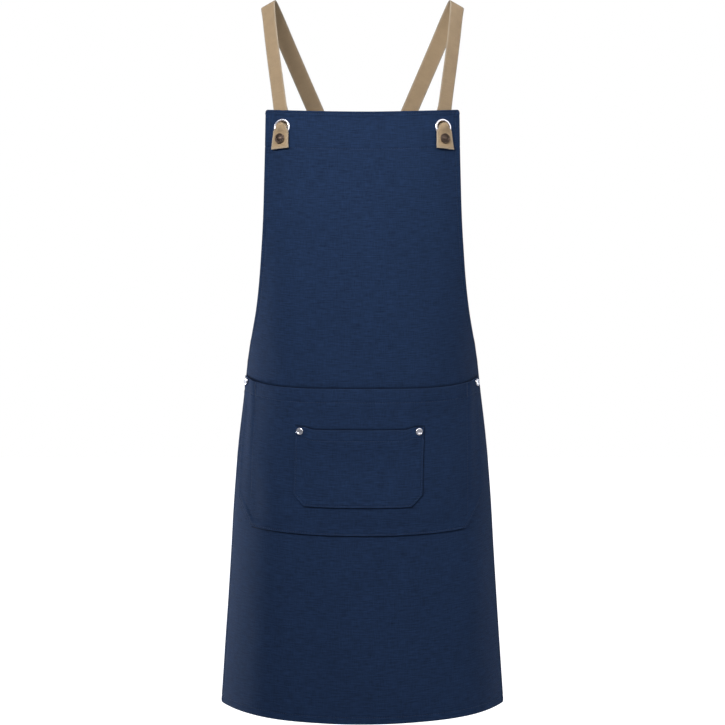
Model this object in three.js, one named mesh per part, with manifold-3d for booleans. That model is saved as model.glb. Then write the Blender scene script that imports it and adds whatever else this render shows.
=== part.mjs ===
// A cross-back bib apron in the form it has when it is worn: a navy cloth front that wraps the body from
// the chest to below the knee, a wide pocket with a smaller one sewn on it, and two tan webbing straps.
// Each strap hangs as a tab in front of its eyelet, goes back through it, over the shoulder, across the
// back and to the far side's waist. Millimetres, +Z up, the front faces -Y. The origin is midway between
// the two places where the straps cross the shoulders, at the height of the straps' undersides. "across"
// is measured along the cloth from its centre line, and "drop" is measured down from the bib's top edge.
import * as THREE from "three";
import Module from "manifold-3d";
import { mergeVertices } from "three/addons/utils/BufferGeometryUtils.js";

const wasm = await Module();
wasm.setup();

// Cloth layers and the clearance between stitched pieces
const clothThickness = 1.0;
const layerGap = 0.4;

// The apron's flat sizes
const apronLength = 877;
const hemWidth = 511;
const cornerRadius = 5;

// Hems turned to the inside, each two layers thick
const bibFacingDepth = 57;
const sideHemWidth = 10;
const bottomHemWidth = 12;
const hemStep = 0.8;

// How the cloth hangs on the body
const bibTopDrop = 175;
const frontReach = 142;
const sideLift = 20;

// Wide pocket
const pocketWidth = 421;
const pocketDepth = 210;
const pocketMouthDrop = 400;
const pocketChamfer = 42;
const pocketHemDepth = 22;
const pocketSlack = 8;
const sideSlack = 1.4;
const dividerInset = 43;
const pocketShift = -3;
const pocketLean = -5;

// Small pocket on the wide one
const patchWidth = 185;
const patchDepth = 114;
const patchMouthDrop = 56;
const patchChamfer = 16;
const patchHemDepth = 18;
const patchSlack = 2.4;

// Rivets at the pockets' corners
const rivetHeadRadius = 5.4;
const rivetHeadHeight = 1.7;
const rivetDish = 0.7;
const rivetPostRadius = 1.4;
const rivetWasherRadius = 4.2;
const rivetWasherThickness = 0.8;
const rivetInset = 8;
const rivetDrop = 6.5;
const rivetMargin = 15;

// Eyelets in the bib's corners
const eyeletInset = 28;
const eyeletDrop = 26;
const eyeletHoleRadius = 9.3;
const eyeletFlangeRadius = 12.8;
const eyeletHeight = 1.8;
const eyeletBackHeight = 1.2;
const eyeletBarrel = 0.8;
const eyeletFlat = 14;

// Snap buttons that hold the tabs
const snapBelowEyelet = 17.2;
const snapCapRadius = 7.4;
const snapCapHeight = 2.6;
const snapPostRadius = 2.0;
const snapStudRadius = 4.0;
const snapSocketWall = 0.8;
const snapStudHeight = 1.8;

// Webbing straps
const strapWidth = 25;
const strapThickness = 1.5;
const tabLength = 32;
const tabLean = -3;
const holeLean = -10;
const strapLean = -18;
const shoulderSpan = 282;
const backReach = 104;
const crossingDrop = 313;
const crossingSpread = 0.7;
const crossingGap = 0.9;
const seamDrop = 378;
const seamLength = 44;
const seamAngle = 26;

// How finely the surfaces are divided
const panelColumns = 28;
const bibRows = 8;
const skirtRows = 6;
const pocketColumns = 28;
const pocketRows = 5;
const patchColumns = 12;
const patchRows = 3;
const chamferRows = 5;
const smallSides = 12;
const eyeletSides = 20;
const strapColumns = 4;
const fineSteps = 3;
const plainSteps = 2;
const sectionSteps = 24;

const navyCloth = new THREE.MeshStandardMaterial({ color: 0x24365a, roughness: 0.88, metalness: 0 });
const tanWebbing = new THREE.MeshStandardMaterial({ color: 0xa98f6a, roughness: 0.9, metalness: 0 });
const nickel = new THREE.MeshStandardMaterial({ color: 0xcfcdd2, roughness: 0.25, metalness: 1 });
const darkBrass = new THREE.MeshStandardMaterial({ color: 0x4b3a2c, roughness: 0.45, metalness: 1 });

// The cloth's level sections, from the bib's top edge (at 0) to the hem (at 1). width: share of hemWidth.
// turn: how far the side edge has turned from the front, in degrees. roundness: 1 is an arc, more is
// flatter in front. front and lift: shares of frontReach and of sideLift, the height the side edge is
// pulled up. liftPower: how late in the section that lift sets in.
const bodySections = [
  { at: 0.0, width: 0.576, turn: 31, roundness: 1.5, front: 0.73, lift: 0.35, liftPower: 2.0 },
  { at: 0.1, width: 0.589, turn: 36, roundness: 1.5, front: 0.82, lift: 0.4, liftPower: 2.0 },
  { at: 0.22, width: 0.625, turn: 45, roundness: 1.45, front: 0.86, lift: 0.45, liftPower: 2.0 },
  { at: 0.34, width: 0.702, turn: 57, roundness: 1.4, front: 0.86, lift: 0.65, liftPower: 2.6 },
  { at: 0.45, width: 0.844, turn: 71, roundness: 1.3, front: 0.85, lift: 1.0, liftPower: 3.4 },
  { at: 0.6, width: 0.908, turn: 70, roundness: 1.3, front: 0.89, lift: 0.98, liftPower: 2.5 },
  { at: 0.8, width: 0.949, turn: 67, roundness: 1.25, front: 0.94, lift: 0.75, liftPower: 2.0 },
  { at: 1.0, width: 1.0, turn: 65, roundness: 1.2, front: 1.0, lift: 0.55, liftPower: 2.0 },
];

// Soft folds. across: share of the half hem width, with minus to the left. from and to: shares of the
// length. spread: half width as a share of the half hem width. height: share of foldHeight, with minus for
// a hollow.
const foldHeight = 5;
const foldFade = 0.14;
const clothFolds = [
  { across: -0.02, from: 0.62, to: 1.0, spread: 0.1, height: 0.28 },
  { across: -0.52, from: 0.6, to: 1.3, spread: 0.24, height: 0.6 },
  { across: -0.25, from: 0.7, to: 1.3, spread: 0.16, height: -0.36 },
  { across: 0.3, from: 0.68, to: 1.3, spread: 0.22, height: -0.5 },
  { across: 0.62, from: 0.66, to: 1.3, spread: 0.2, height: 0.55 },
  { across: 0.36, from: 0.02, to: 0.4, spread: 0.18, height: -0.3 },
  { across: -0.36, from: 0.04, to: 0.36, spread: 0.18, height: -0.22 },
  { across: 0.05, from: 0.1, to: 0.44, spread: 0.2, height: 0.3 },
];

function smoothStep(value) {
  const share = THREE.MathUtils.clamp(value, 0, 1);
  return share * share * (3 - 2 * share);
}

// The value of one column of a table at a place between its rows, on a smooth curve through them.
function follow(table, column, place) {
  const slopes = table.map((row, index) => {
    const before = table[Math.max(index - 1, 0)];
    const after = table[Math.min(index + 1, table.length - 1)];
    const rise = (from, to) => (to[column] - from[column]) / (to.at - from.at);
    if (before === row) return rise(row, after);
    if (after === row) return rise(before, row);
    return (rise(before, row) + rise(row, after)) / 2;
  });
  let index = 0;
  while (index < table.length - 2 && place > table[index + 1].at) index += 1;
  const [low, high] = [table[index], table[index + 1]];
  const span = high.at - low.at;
  const share = (place - low.at) / span;
  const squared = share * share;
  const cubed = squared * share;
  return (
    (2 * cubed - 3 * squared + 1) * low[column] +
    (cubed - 2 * squared + share) * span * slopes[index] +
    (3 * squared - 2 * cubed) * high[column] +
    (cubed - squared) * span * slopes[index + 1]
  );
}

const halfWidthAt = (drop) => (hemWidth / 2) * follow(bodySections, "width", drop / apronLength);

// A point of the smooth body form: the section's turn grows from its centre line to its edge, and adding
// up the small steps in the turned direction gives the plan curve.
function bodyPoint(across, drop) {
  const place = drop / apronLength;
  const halfWidth = halfWidthAt(drop);
  const turn = THREE.MathUtils.degToRad(follow(bodySections, "turn", place));
  const roundness = follow(bodySections, "roundness", place);
  const reach = Math.abs(across);
  const step = reach / sectionSteps;
  let sideways = 0;
  let backward = 0;
  for (let index = 0; index < sectionSteps; index += 1) {
    const angle = turn * Math.pow(((index + 0.5) * step) / halfWidth, roundness);
    sideways += Math.cos(angle) * step;
    backward += Math.sin(angle) * step;
  }
  const front = -frontReach * follow(bodySections, "front", place);
  const liftShare = Math.pow(reach / halfWidth, follow(bodySections, "liftPower", place));
  const lift = sideLift * follow(bodySections, "lift", place) * liftShare;
  return new THREE.Vector3(Math.sign(across) * sideways, front + backward, lift - bibTopDrop - drop);
}

// The surface's point and its across, down and outward directions.
function frameOn(surface, across, drop) {
  const step = 0.5;
  const right = surface(across + step, drop).sub(surface(across - step, drop)).normalize();
  const down = surface(across, drop + step).sub(surface(across, drop - step)).normalize();
  const outward = down.clone().cross(right).normalize();
  return { point: surface(across, drop), right, down: right.clone().cross(outward), outward };
}

function foldAt(across, drop) {
  const place = drop / apronLength;
  const sideways = across / (hemWidth / 2);
  return clothFolds.reduce((sum, fold) => {
    const along = smoothStep((place - fold.from) / foldFade) * smoothStep((fold.to - place) / foldFade);
    const over = Math.exp(-(((sideways - fold.across) / fold.spread) ** 2));
    return sum + foldHeight * fold.height * along * over;
  }, 0);
}

const foldedPoint = (across, drop) => {
  const { point, outward } = frameOn(bodyPoint, across, drop);
  return point.addScaledVector(outward, foldAt(across, drop));
};

const sides = { left: -1, right: 1 };
const eyeletFrames = Object.values(sides).map((side) => ({
  side,
  ...frameOn(foldedPoint, side * (halfWidthAt(0) - eyeletInset), eyeletDrop),
}));

// The front face of the apron's cloth, with its folds, and flat where the eyelets press on it.
function clothPoint(across, drop) {
  const point = foldedPoint(across, drop);
  eyeletFrames.forEach((eyelet) => {
    const away = point.clone().sub(eyelet.point);
    const flatness = 1 - smoothStep((away.length() - eyeletFlat) / eyeletFlat);
    point.addScaledVector(eyelet.outward, -flatness * away.dot(eyelet.outward));
  });
  return point;
}

const clothFrame = (across, drop) => frameOn(clothPoint, across, drop);

// The same on a layer of cloth whose face lies that high above the apron's front face.
function layerFrame(heightAt, across, drop) {
  const surface = (sideways, down) => {
    const { point, outward } = clothFrame(sideways, down);
    return point.addScaledVector(outward, heightAt(sideways, down));
  };
  return frameOn(surface, across, drop);
}

function solidFrom(geometry, matrix = new THREE.Matrix4()) {
  const bare = geometry.index ? geometry.toNonIndexed() : geometry.clone();
  bare.deleteAttribute("normal");
  bare.deleteAttribute("uv");
  bare.applyMatrix4(matrix);
  const merged = mergeVertices(bare, 1e-4);
  const vertProperties = merged.attributes.position.array;
  const triVerts = new Uint32Array(merged.index.array);
  return new wasm.Manifold(new wasm.Mesh({ numProp: 3, vertProperties, triVerts }));
}

function geometryFrom(solid) {
  const mesh = solid.getMesh();
  const geometry = new THREE.BufferGeometry();
  geometry.setAttribute("position", new THREE.BufferAttribute(new Float32Array(mesh.vertProperties), 3));
  geometry.setIndex(new THREE.BufferAttribute(new Uint32Array(mesh.triVerts), 1));
  geometry.computeVertexNormals();
  return geometry;
}

// A closed skin round a grid of paired points: outer[row][column] and inner[row][column].
function closedGrid(outer, inner) {
  const [rows, columns] = [outer.length, outer[0].length];
  const positions = [...outer.flat(), ...inner.flat()].flatMap((point) => point.toArray());
  const outerAt = (row, column) => row * columns + column;
  const innerAt = (row, column) => (rows + row) * columns + column;
  const faces = [];
  const quad = (a, b, c, d) => faces.push(a, b, c, a, c, d);
  for (let row = 0; row < rows - 1; row += 1) {
    for (let column = 0; column < columns - 1; column += 1) {
      const corners = [[row, column], [row + 1, column], [row + 1, column + 1], [row, column + 1]];
      quad(...corners.map((corner) => outerAt(...corner)));
      quad(...corners.reverse().map((corner) => innerAt(...corner)));
    }
    quad(outerAt(row, 0), innerAt(row, 0), innerAt(row + 1, 0), outerAt(row + 1, 0));
    const last = columns - 1;
    quad(outerAt(row + 1, last), innerAt(row + 1, last), innerAt(row, last), outerAt(row, last));
  }
  for (let column = 0; column < columns - 1; column += 1) {
    quad(outerAt(0, column), outerAt(0, column + 1), innerAt(0, column + 1), innerAt(0, column));
    const last = rows - 1;
    quad(outerAt(last, column), innerAt(last, column), innerAt(last, column + 1), outerAt(last, column + 1));
  }
  const geometry = new THREE.BufferGeometry();
  geometry.setAttribute("position", new THREE.Float32BufferAttribute(positions, 3));
  geometry.setIndex(faces);
  geometry.computeVertexNormals();
  return geometry;
}

// A sheet of cloth over the apron. drops are its rows, acrossAt(drop) its columns there, and outerAt and
// innerAt the heights of its two faces above the apron's front face.
function clothSheet(drops, acrossAt, outerAt, innerAt) {
  const face = (heightAt) =>
    drops.map((drop) =>
      acrossAt(drop).map((across) => {
        const { point, outward } = clothFrame(across, drop);
        return point.addScaledVector(outward, heightAt(across, drop));
      }),
    );
  return closedGrid(face(outerAt), face(innerAt));
}

function evenly(from, to, count) {
  return Array.from({ length: count + 1 }, (_, index) => from + ((to - from) * index) / count);
}

// A hole of that radius bored along the cloth's own direction at each place.
function boreThrough(geometry, places, radius, sidesAround = smallSides) {
  const boreLength = 60;
  const bored = places.reduce((solid, place) => {
    const drill = new THREE.CylinderGeometry(radius, radius, boreLength, sidesAround);
    return solid.subtract(solidFrom(drill, latheMatrix(place)));
  }, solidFrom(geometry));
  return geometryFrom(bored);
}

// A turned piece stands with its axis along the outward direction.
function latheMatrix({ point, right, outward }) {
  const basis = new THREE.Matrix4().makeBasis(right, outward, right.clone().cross(outward));
  return basis.setPosition(point);
}

function turnedPiece(profile, place, sidesAround = smallSides) {
  const points = profile.map(([radius, height]) => new THREE.Vector2(radius, height));
  const mesh = new THREE.Mesh(new THREE.LatheGeometry(points, sidesAround));
  mesh.applyMatrix4(latheMatrix(place));
  return mesh;
}

// Wide pocket, sewn down at its sides, along its bottom and on two divider lines
const pocketHalf = pocketWidth / 2;
const dividerAt = pocketHalf - dividerInset;

const pocketCentre = (drop) => pocketShift + pocketLean * ((drop - pocketMouthDrop) / pocketDepth);

function pocketSlackAt(across, drop) {
  const fromCentre = Math.abs(across - pocketCentre(drop));
  const down = smoothStep((pocketBottomDrop - drop) / pocketDepth);
  if (fromCentre < dividerAt) {
    return pocketSlack * down * Math.cos((Math.PI / 2) * (fromCentre / dividerAt)) ** 2;
  }
  const inSide = THREE.MathUtils.clamp((fromCentre - dividerAt) / (dividerInset - rivetMargin), 0, 1);
  return sideSlack * down * Math.sin(Math.PI * inSide) ** 2;
}

// The mouth's turned hem lifts the pocket by one more layer, which fades out below it.
function hemLiftAt(drop, mouthDrop, hemDepth) {
  return clothThickness * (1 - smoothStep((drop - mouthDrop - hemDepth) / hemDepth));
}

const pocketOuter = (across, drop) =>
  layerGap +
  clothThickness +
  hemLiftAt(drop, pocketMouthDrop, pocketHemDepth) +
  pocketSlackAt(across, drop);

const pocketHemEnd = pocketMouthDrop + pocketHemDepth + hemStep / 2;
const pocketInner = (across, drop) =>
  pocketOuter(across, drop) - clothThickness * (drop < pocketHemEnd ? 2 : 1);

// The rows of a pocket, with its turned hem at the mouth and its two lower corners cut off.
function pocketDropsOf({ mouth, depth, chamfer, hemDepth, rows }) {
  const bottom = mouth + depth;
  const hemEnd = mouth + hemDepth;
  return [
    mouth,
    hemEnd,
    ...evenly(hemEnd + hemStep, bottom - chamfer, rows),
    ...evenly(bottom - chamfer, bottom, chamferRows).slice(1),
  ];
}

function pocketSheet(form, outerAt, innerAt) {
  const bottom = form.mouth + form.depth;
  const acrossAt = (drop) => {
    const reach = form.width / 2 - Math.max(drop - bottom + form.chamfer, 0);
    const centre = pocketCentre(drop);
    return evenly(centre - reach, centre + reach, form.columns);
  };
  return clothSheet(pocketDropsOf(form), acrossAt, outerAt, innerAt);
}

const pocketForm = {
  mouth: pocketMouthDrop,
  depth: pocketDepth,
  width: pocketWidth,
  chamfer: pocketChamfer,
  hemDepth: pocketHemDepth,
  rows: pocketRows,
  columns: pocketColumns,
};
const pocketBottomDrop = pocketMouthDrop + pocketDepth;
const pocketDrops = pocketDropsOf(pocketForm);

// Apron front: bib and skirt in one, with its hems turned to the inside
const edgeAt = (drop) => {
  const fromEnd = Math.min(drop, apronLength - drop);
  const missing = Math.max(cornerRadius - fromEnd, 0);
  return halfWidthAt(drop) - cornerRadius + Math.sqrt(cornerRadius ** 2 - missing ** 2);
};

const isTurned = (across, drop) =>
  drop < bibFacingDepth + hemStep / 2 ||
  drop > apronLength - bottomHemWidth - hemStep / 2 ||
  Math.abs(across) > halfWidthAt(drop) - sideHemWidth - hemStep / 2;

const panelInner = (across, drop) => (isTurned(across, drop) ? -2 * clothThickness : -clothThickness);

function makePanel() {
  const cornerDrops = [0, 0.3, 1].map((share) => share * cornerRadius);
  const hemStart = apronLength - bottomHemWidth;
  const drops = [
    ...cornerDrops,
    ...evenly(cornerRadius, bibFacingDepth, 2).slice(1),
    ...evenly(bibFacingDepth + hemStep, pocketMouthDrop, bibRows).slice(0, -1),
    ...pocketDrops,
    ...evenly(pocketBottomDrop, hemStart - hemStep, skirtRows).slice(1),
    hemStart,
    ...cornerDrops.map((drop) => apronLength - drop).reverse(),
  ];
  const acrossAt = (drop) => {
    const hemLine = halfWidthAt(drop) - sideHemWidth;
    const inside = evenly(hemStep - hemLine, hemLine - hemStep, panelColumns);
    return [-edgeAt(drop), -hemLine, ...inside, hemLine, edgeAt(drop)];
  };
  return clothSheet(drops, acrossAt, () => 0, panelInner);
}

// Small pocket, sewn to the wide one
const patchHalf = patchWidth / 2;
const patchTop = pocketMouthDrop + patchMouthDrop;

function patchSlackAt(across, drop) {
  const down = smoothStep((patchTop + patchDepth - drop) / patchDepth);
  const share = Math.min(Math.abs(across - pocketCentre(drop)) / patchHalf, 1);
  return patchSlack * down * Math.cos((Math.PI / 2) * share) ** 2;
}

const patchOuter = (across, drop) =>
  pocketOuter(across, drop) +
  layerGap +
  clothThickness +
  hemLiftAt(drop, patchTop, patchHemDepth) +
  patchSlackAt(across, drop);

const patchHemEnd = patchTop + patchHemDepth + hemStep / 2;
const patchInner = (across, drop) => patchOuter(across, drop) - clothThickness * (drop < patchHemEnd ? 2 : 1);

const patchForm = {
  mouth: patchTop,
  depth: patchDepth,
  width: patchWidth,
  chamfer: patchChamfer,
  hemDepth: patchHemDepth,
  rows: patchRows,
  columns: patchColumns,
};

// Rivets: a dished head in front, a post through the layers and a washer behind them
function makeRivet(form, side, faceAt, backAt) {
  const drop = form.mouth + rivetDrop;
  const across = pocketCentre(drop) + side * (form.width / 2 - rivetInset);
  const place = layerFrame(faceAt, across, drop);
  const grip = faceAt(across, drop) - backAt(across + side * rivetWasherRadius, drop);
  return { place, mesh: turnedPiece(rivetProfile(grip), place) };
}

function rivetProfile(grip) {
  const headBase = layerGap;
  const headTop = headBase + rivetHeadHeight;
  const washerTop = -grip - layerGap;
  const washerBase = washerTop - rivetWasherThickness;
  return [
    [0, washerBase],
    [rivetWasherRadius * 0.85, washerBase],
    [rivetWasherRadius, washerTop],
    [rivetPostRadius, washerTop],
    [rivetPostRadius, headBase],
    [rivetHeadRadius, headBase],
    [rivetHeadRadius, headBase + rivetHeadHeight * 0.45],
    [rivetHeadRadius * 0.8, headTop],
    [rivetHeadRadius * 0.55, headTop - rivetDish * 0.3],
    [rivetHeadRadius * 0.3, headTop - rivetDish],
    [0, headTop - rivetDish],
  ];
}

// Eyelets: a rounded flange in front, a barrel through the facing and a flat flange behind
function eyeletProfile() {
  const face = layerGap;
  const back = -2 * clothThickness - layerGap;
  const top = face + eyeletHeight;
  const width = eyeletFlangeRadius - eyeletHoleRadius;
  return [
    [eyeletHoleRadius, back - eyeletBackHeight],
    [eyeletFlangeRadius - width * 0.15, back - eyeletBackHeight],
    [eyeletFlangeRadius, back],
    [eyeletHoleRadius + eyeletBarrel, back],
    [eyeletHoleRadius + eyeletBarrel, face],
    [eyeletFlangeRadius, face],
    [eyeletFlangeRadius - width * 0.12, face + eyeletHeight * 0.6],
    [eyeletFlangeRadius - width * 0.4, top],
    [eyeletFlangeRadius - width * 0.7, top - eyeletHeight * 0.12],
    [eyeletHoleRadius, face + eyeletHeight * 0.3],
    [eyeletHoleRadius, back - eyeletBackHeight],
  ];
}

// Snap buttons. The stud sits on the facing under the tab, and the cap's post goes through the tab into it.
const snapStudTop = layerGap + snapStudHeight;
const tabHeight = snapStudTop + layerGap + strapThickness / 2;

// A point that far below an eyelet's centre along the leaning strap, and that high above the cloth's face.
function tabPoint({ side, point, right, down, outward }, below, height, leanAngle = tabLean) {
  const lean = THREE.MathUtils.degToRad(leanAngle);
  return point
    .clone()
    .addScaledVector(down, below * Math.cos(lean))
    .addScaledVector(right, side * below * Math.sin(lean))
    .addScaledVector(outward, height);
}

const snapPlace = (eyelet) => ({ ...eyelet, point: tabPoint(eyelet, snapBelowEyelet, 0) });

function snapStudProfile() {
  const back = -2 * clothThickness - layerGap;
  const socketRadius = snapPostRadius + layerGap;
  const boreRadius = socketRadius + snapSocketWall;
  return [
    [0, back - snapStudHeight],
    [snapStudRadius * 0.9, back - snapStudHeight],
    [snapStudRadius, back],
    [boreRadius, back],
    [boreRadius, layerGap],
    [snapStudRadius, layerGap],
    [snapStudRadius * 0.9, snapStudTop],
    [socketRadius, snapStudTop],
    [socketRadius, back + 0.4],
    [0, back + 0.4],
  ];
}

function snapCapProfile() {
  const base = tabHeight + strapThickness / 2 + 1.5 * layerGap;
  const top = base + snapCapHeight;
  return [
    [0, 0],
    [snapPostRadius, 0],
    [snapPostRadius, base],
    [snapCapRadius, base],
    [snapCapRadius, base + snapCapHeight * 0.4],
    [snapCapRadius * 0.93, base + snapCapHeight * 0.72],
    [snapCapRadius * 0.78, base + snapCapHeight * 0.78],
    [snapCapRadius * 0.7, base + snapCapHeight * 0.62],
    [snapCapRadius * 0.55, base + snapCapHeight * 0.72],
    [snapCapRadius * 0.3, top],
    [0, top],
  ];
}

// Straps

// The strap near its eyelet, where it is rolled into a half tube to pass through the hole. down: from the
// eyelet's centre, along the cloth, with minus for up. out: height of the strap's middle above the cloth's
// front face. lay: how far its face is turned from outward to upward, in degrees. curl: how far the webbing
// is rolled across its width, in degrees, with minus where its edges are turned back. squeeze: its width
// there as a share.
const behindEyelet = -2 * clothThickness - 2 * layerGap - eyeletBackHeight - strapThickness / 2;
const inHole = -0.7 * eyeletHoleRadius;
const tabRoute = [
  { down: tabLength, out: tabHeight - 0.3, lay: 0, curl: 6, squeeze: 1 },
  { down: (tabLength + snapBelowEyelet) / 2, out: tabHeight, lay: 0, curl: 3, squeeze: 1 },
  { down: snapBelowEyelet, out: tabHeight, lay: 0, curl: 0, squeeze: 1 },
  { down: 11, out: tabHeight, lay: 0, curl: -10, squeeze: 1 },
  { down: 6.8, out: tabHeight + 1.3, lay: 0, curl: -34, squeeze: 0.98 },
  { down: 3, out: tabHeight + 3.8, lay: 8, curl: -100, squeeze: 0.8 },
  { down: -1.2, out: tabHeight + 4.5, lay: 24, curl: -124, squeeze: 0.8 },
  { down: -4.8, out: tabHeight + 3.2, lay: 52, curl: -140, squeeze: 0.81 },
  { down: inHole + 0.2, out: 3.4, lay: 76, curl: -160, squeeze: 0.84 },
  { down: inHole, out: 0.4, lay: 88, curl: -168, squeeze: 0.83 },
  { down: inHole, out: -3, lay: 88, curl: -168, squeeze: 0.83 },
  { down: inHole - 0.7, out: behindEyelet - 1, lay: 66, curl: -140, squeeze: 0.86 },
  { down: inHole - 3, out: behindEyelet - 2.4, lay: 36, curl: -90, squeeze: 0.92 },
  { down: -14, out: behindEyelet - 1.8, lay: 10, curl: -40, squeeze: 0.97 },
  { down: -eyeletDrop * 0.8, out: behindEyelet, lay: 0, curl: -6, squeeze: 1 },
];

// The strap from the bib's top over the shoulder and across the back. sideways: share of half the shoulder
// span. back: share of backReach, with minus for forward. drop: share of crossingDrop. facing: the
// webbing's outward direction, in degrees round from the front. tilt: how far it points up, in degrees.
const bodyRoute = [
  { sideways: 0.85, back: -0.751, drop: 0.533, facing: 36, tilt: 5 },
  { sideways: 0.878, back: -0.67, drop: 0.44, facing: 38, tilt: 6 },
  { sideways: 0.922, back: -0.56, drop: 0.3, facing: 40, tilt: 12 },
  { sideways: 0.96, back: -0.41, drop: 0.17, facing: 43, tilt: 20 },
  { sideways: 0.987, back: -0.24, drop: 0.065, facing: 48, tilt: 34 },
  { sideways: 1.0, back: -0.09, drop: 0.012, facing: 60, tilt: 54 },
  { sideways: 0.99, back: 0.05, drop: 0.006, facing: 100, tilt: 64 },
  { sideways: 0.93, back: 0.17, drop: 0.06, facing: 140, tilt: 52 },
  { sideways: 0.794, back: 0.32, drop: 0.2, facing: 160, tilt: 30 },
  { sideways: 0.518, back: 0.6, drop: 0.48, facing: 168, tilt: 18 },
  { sideways: 0.26, back: 0.83, drop: 0.74, facing: 178, tilt: 11 },
  { sideways: 0, back: 0.97, drop: 1.0, facing: 180, tilt: 5 },
  { sideways: -0.32, back: 0.98, drop: 1.23, facing: 189, tilt: 0 },
  { sideways: -0.71, back: 0.85, drop: 1.39, facing: 212, tilt: 0 },
  { sideways: -1.05, back: 0.55, drop: 1.5, facing: 238, tilt: 0 },
  { sideways: -1.165, back: 0.19, drop: 1.6, facing: 268, tilt: 0 },
];

function facingDirection(facing, tilt, side) {
  const round = THREE.MathUtils.degToRad(facing);
  const up = THREE.MathUtils.degToRad(tilt);
  const level = Math.cos(up);
  return new THREE.Vector3(side * Math.sin(round) * level, -Math.cos(round) * level, Math.sin(up));
}

// The strap leans one way as a tab, another inside the hole and most behind the bib.
function leanAt(down) {
  if (down > 0) return tabLean;
  return down < 2 * inHole ? strapLean : holeLean;
}

// The stations of one strap, from its tab's end to its seam at the far side's waist.
function strapStations(eyelet, farSide) {
  const nearEyelet = tabRoute.map(({ down, out, lay, curl, squeeze }) => ({
    point: tabPoint(eyelet, down, out, leanAt(down)),
    normal: eyelet.outward.clone().applyAxisAngle(eyelet.right, THREE.MathUtils.degToRad(-lay)),
    curl,
    squeeze,
    steps: fineSteps,
  }));
  const over = (eyelet.side * (strapThickness + crossingGap)) / 2;
  const overBody = bodyRoute.map(({ sideways, back, drop, facing, tilt }) => {
    const nearCrossing = back > 0 ? Math.exp(-((sideways / crossingSpread) ** 2)) : 0;
    const point = new THREE.Vector3(
      (eyelet.side * sideways * shoulderSpan) / 2,
      back * backReach + over * nearCrossing,
      strapThickness / 2 - drop * crossingDrop,
    );
    const normal = facingDirection(facing, tilt, eyelet.side);
    return { point, normal, curl: 0, squeeze: 1, steps: plainSteps };
  });
  return [...nearEyelet, ...overBody, ...seamStations(farSide)];
}

// The strap's far end lies on the inside of the apron's edge at the waist.
function seamStations(side) {
  const slope = THREE.MathUtils.degToRad(seamAngle);
  const height = -2 * clothThickness - 2 * layerGap - strapThickness / 2;
  return [0.12, -0.44, -1].map((share) => {
    const distance = share * seamLength;
    const drop = seamDrop - distance * Math.sin(slope);
    const across = side * (halfWidthAt(seamDrop) + distance * Math.cos(slope));
    const { point, outward } = clothFrame(across, drop);
    return {
      point: point.addScaledVector(outward, height),
      normal: outward,
      curl: 0,
      squeeze: 1,
      steps: plainSteps,
    };
  });
}

function strapSection({ point, normal, tangent, curl, squeeze }) {
  const across = tangent.clone().cross(normal).normalize();
  const upright = across.clone().cross(tangent).normalize();
  const width = strapWidth * squeeze;
  const angle = Math.abs(curl) < 0.1 ? 1e-3 : THREE.MathUtils.degToRad(curl);
  const radius = width / angle;
  return evenly(-angle / 2, angle / 2, strapColumns).map((turned) => {
    const middle = point
      .clone()
      .addScaledVector(across, radius * Math.sin(turned))
      .addScaledVector(upright, radius * (1 - Math.cos(turned)));
    const faceNormal = upright
      .clone()
      .multiplyScalar(Math.cos(turned))
      .addScaledVector(across, -Math.sin(turned));
    return [
      middle.clone().addScaledVector(faceNormal, strapThickness / 2),
      middle.clone().addScaledVector(faceNormal, -strapThickness / 2),
    ];
  });
}

function makeStrap(eyelet, farSide) {
  const stations = strapStations(eyelet, farSide);
  const curve = new THREE.CatmullRomCurve3(stations.map(({ point }) => point), false, "centripetal");
  const last = stations.length - 1;
  const places = stations
    .slice(0, -1)
    .flatMap(({ steps }, index) => evenly(index, index + 1, steps).slice(0, -1));
  const sections = [...places, last].map((place) => {
    const index = Math.min(Math.floor(place), last - 1);
    const share = place - index;
    const [low, high] = [stations[index], stations[index + 1]];
    return strapSection({
      point: curve.getPoint(place / last),
      tangent: curve.getTangent(place / last).negate(),
      normal: low.normal.clone().lerp(high.normal, share).normalize(),
      curl: THREE.MathUtils.lerp(low.curl, high.curl, share),
      squeeze: THREE.MathUtils.lerp(low.squeeze, high.squeeze, share),
    });
  });
  const outer = sections.map((section) => section.map(([front]) => front));
  const inner = sections.map((section) => section.map(([, back]) => back));
  return closedGrid(outer, inner);
}

// The whole apron
const apron = new THREE.Group();

function addPiece(name, mesh, material) {
  mesh.name = name;
  mesh.material = material;
  apron.add(mesh);
}

const snapPlaces = eyeletFrames.map(snapPlace);
const rivetBore = rivetPostRadius + layerGap;
const eyeletBore = eyeletHoleRadius + eyeletBarrel + layerGap;
const snapBore = snapPostRadius + snapSocketWall + 2 * layerGap;
const pocketRivets = eyeletFrames.map(({ side }) => makeRivet(pocketForm, side, pocketOuter, panelInner));
const patchRivets = eyeletFrames.map(({ side }) => makeRivet(patchForm, side, patchOuter, pocketInner));
const pocketRivetPlaces = pocketRivets.map(({ place }) => place);
const patchRivetPlaces = patchRivets.map(({ place }) => place);

const riveted = boreThrough(makePanel(), pocketRivetPlaces, rivetBore);
const eyeleted = boreThrough(riveted, eyeletFrames, eyeletBore, eyeletSides);
addPiece("apron_front", new THREE.Mesh(boreThrough(eyeleted, snapPlaces, snapBore)), navyCloth);

const wideSheet = pocketSheet(pocketForm, pocketOuter, pocketInner);
const widePocket = boreThrough(wideSheet, [...pocketRivetPlaces, ...patchRivetPlaces], rivetBore);
addPiece("wide_pocket", new THREE.Mesh(widePocket), navyCloth);

const patchSheet = pocketSheet(patchForm, patchOuter, patchInner);
addPiece("small_pocket", new THREE.Mesh(boreThrough(patchSheet, patchRivetPlaces, rivetBore)), navyCloth);

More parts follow.
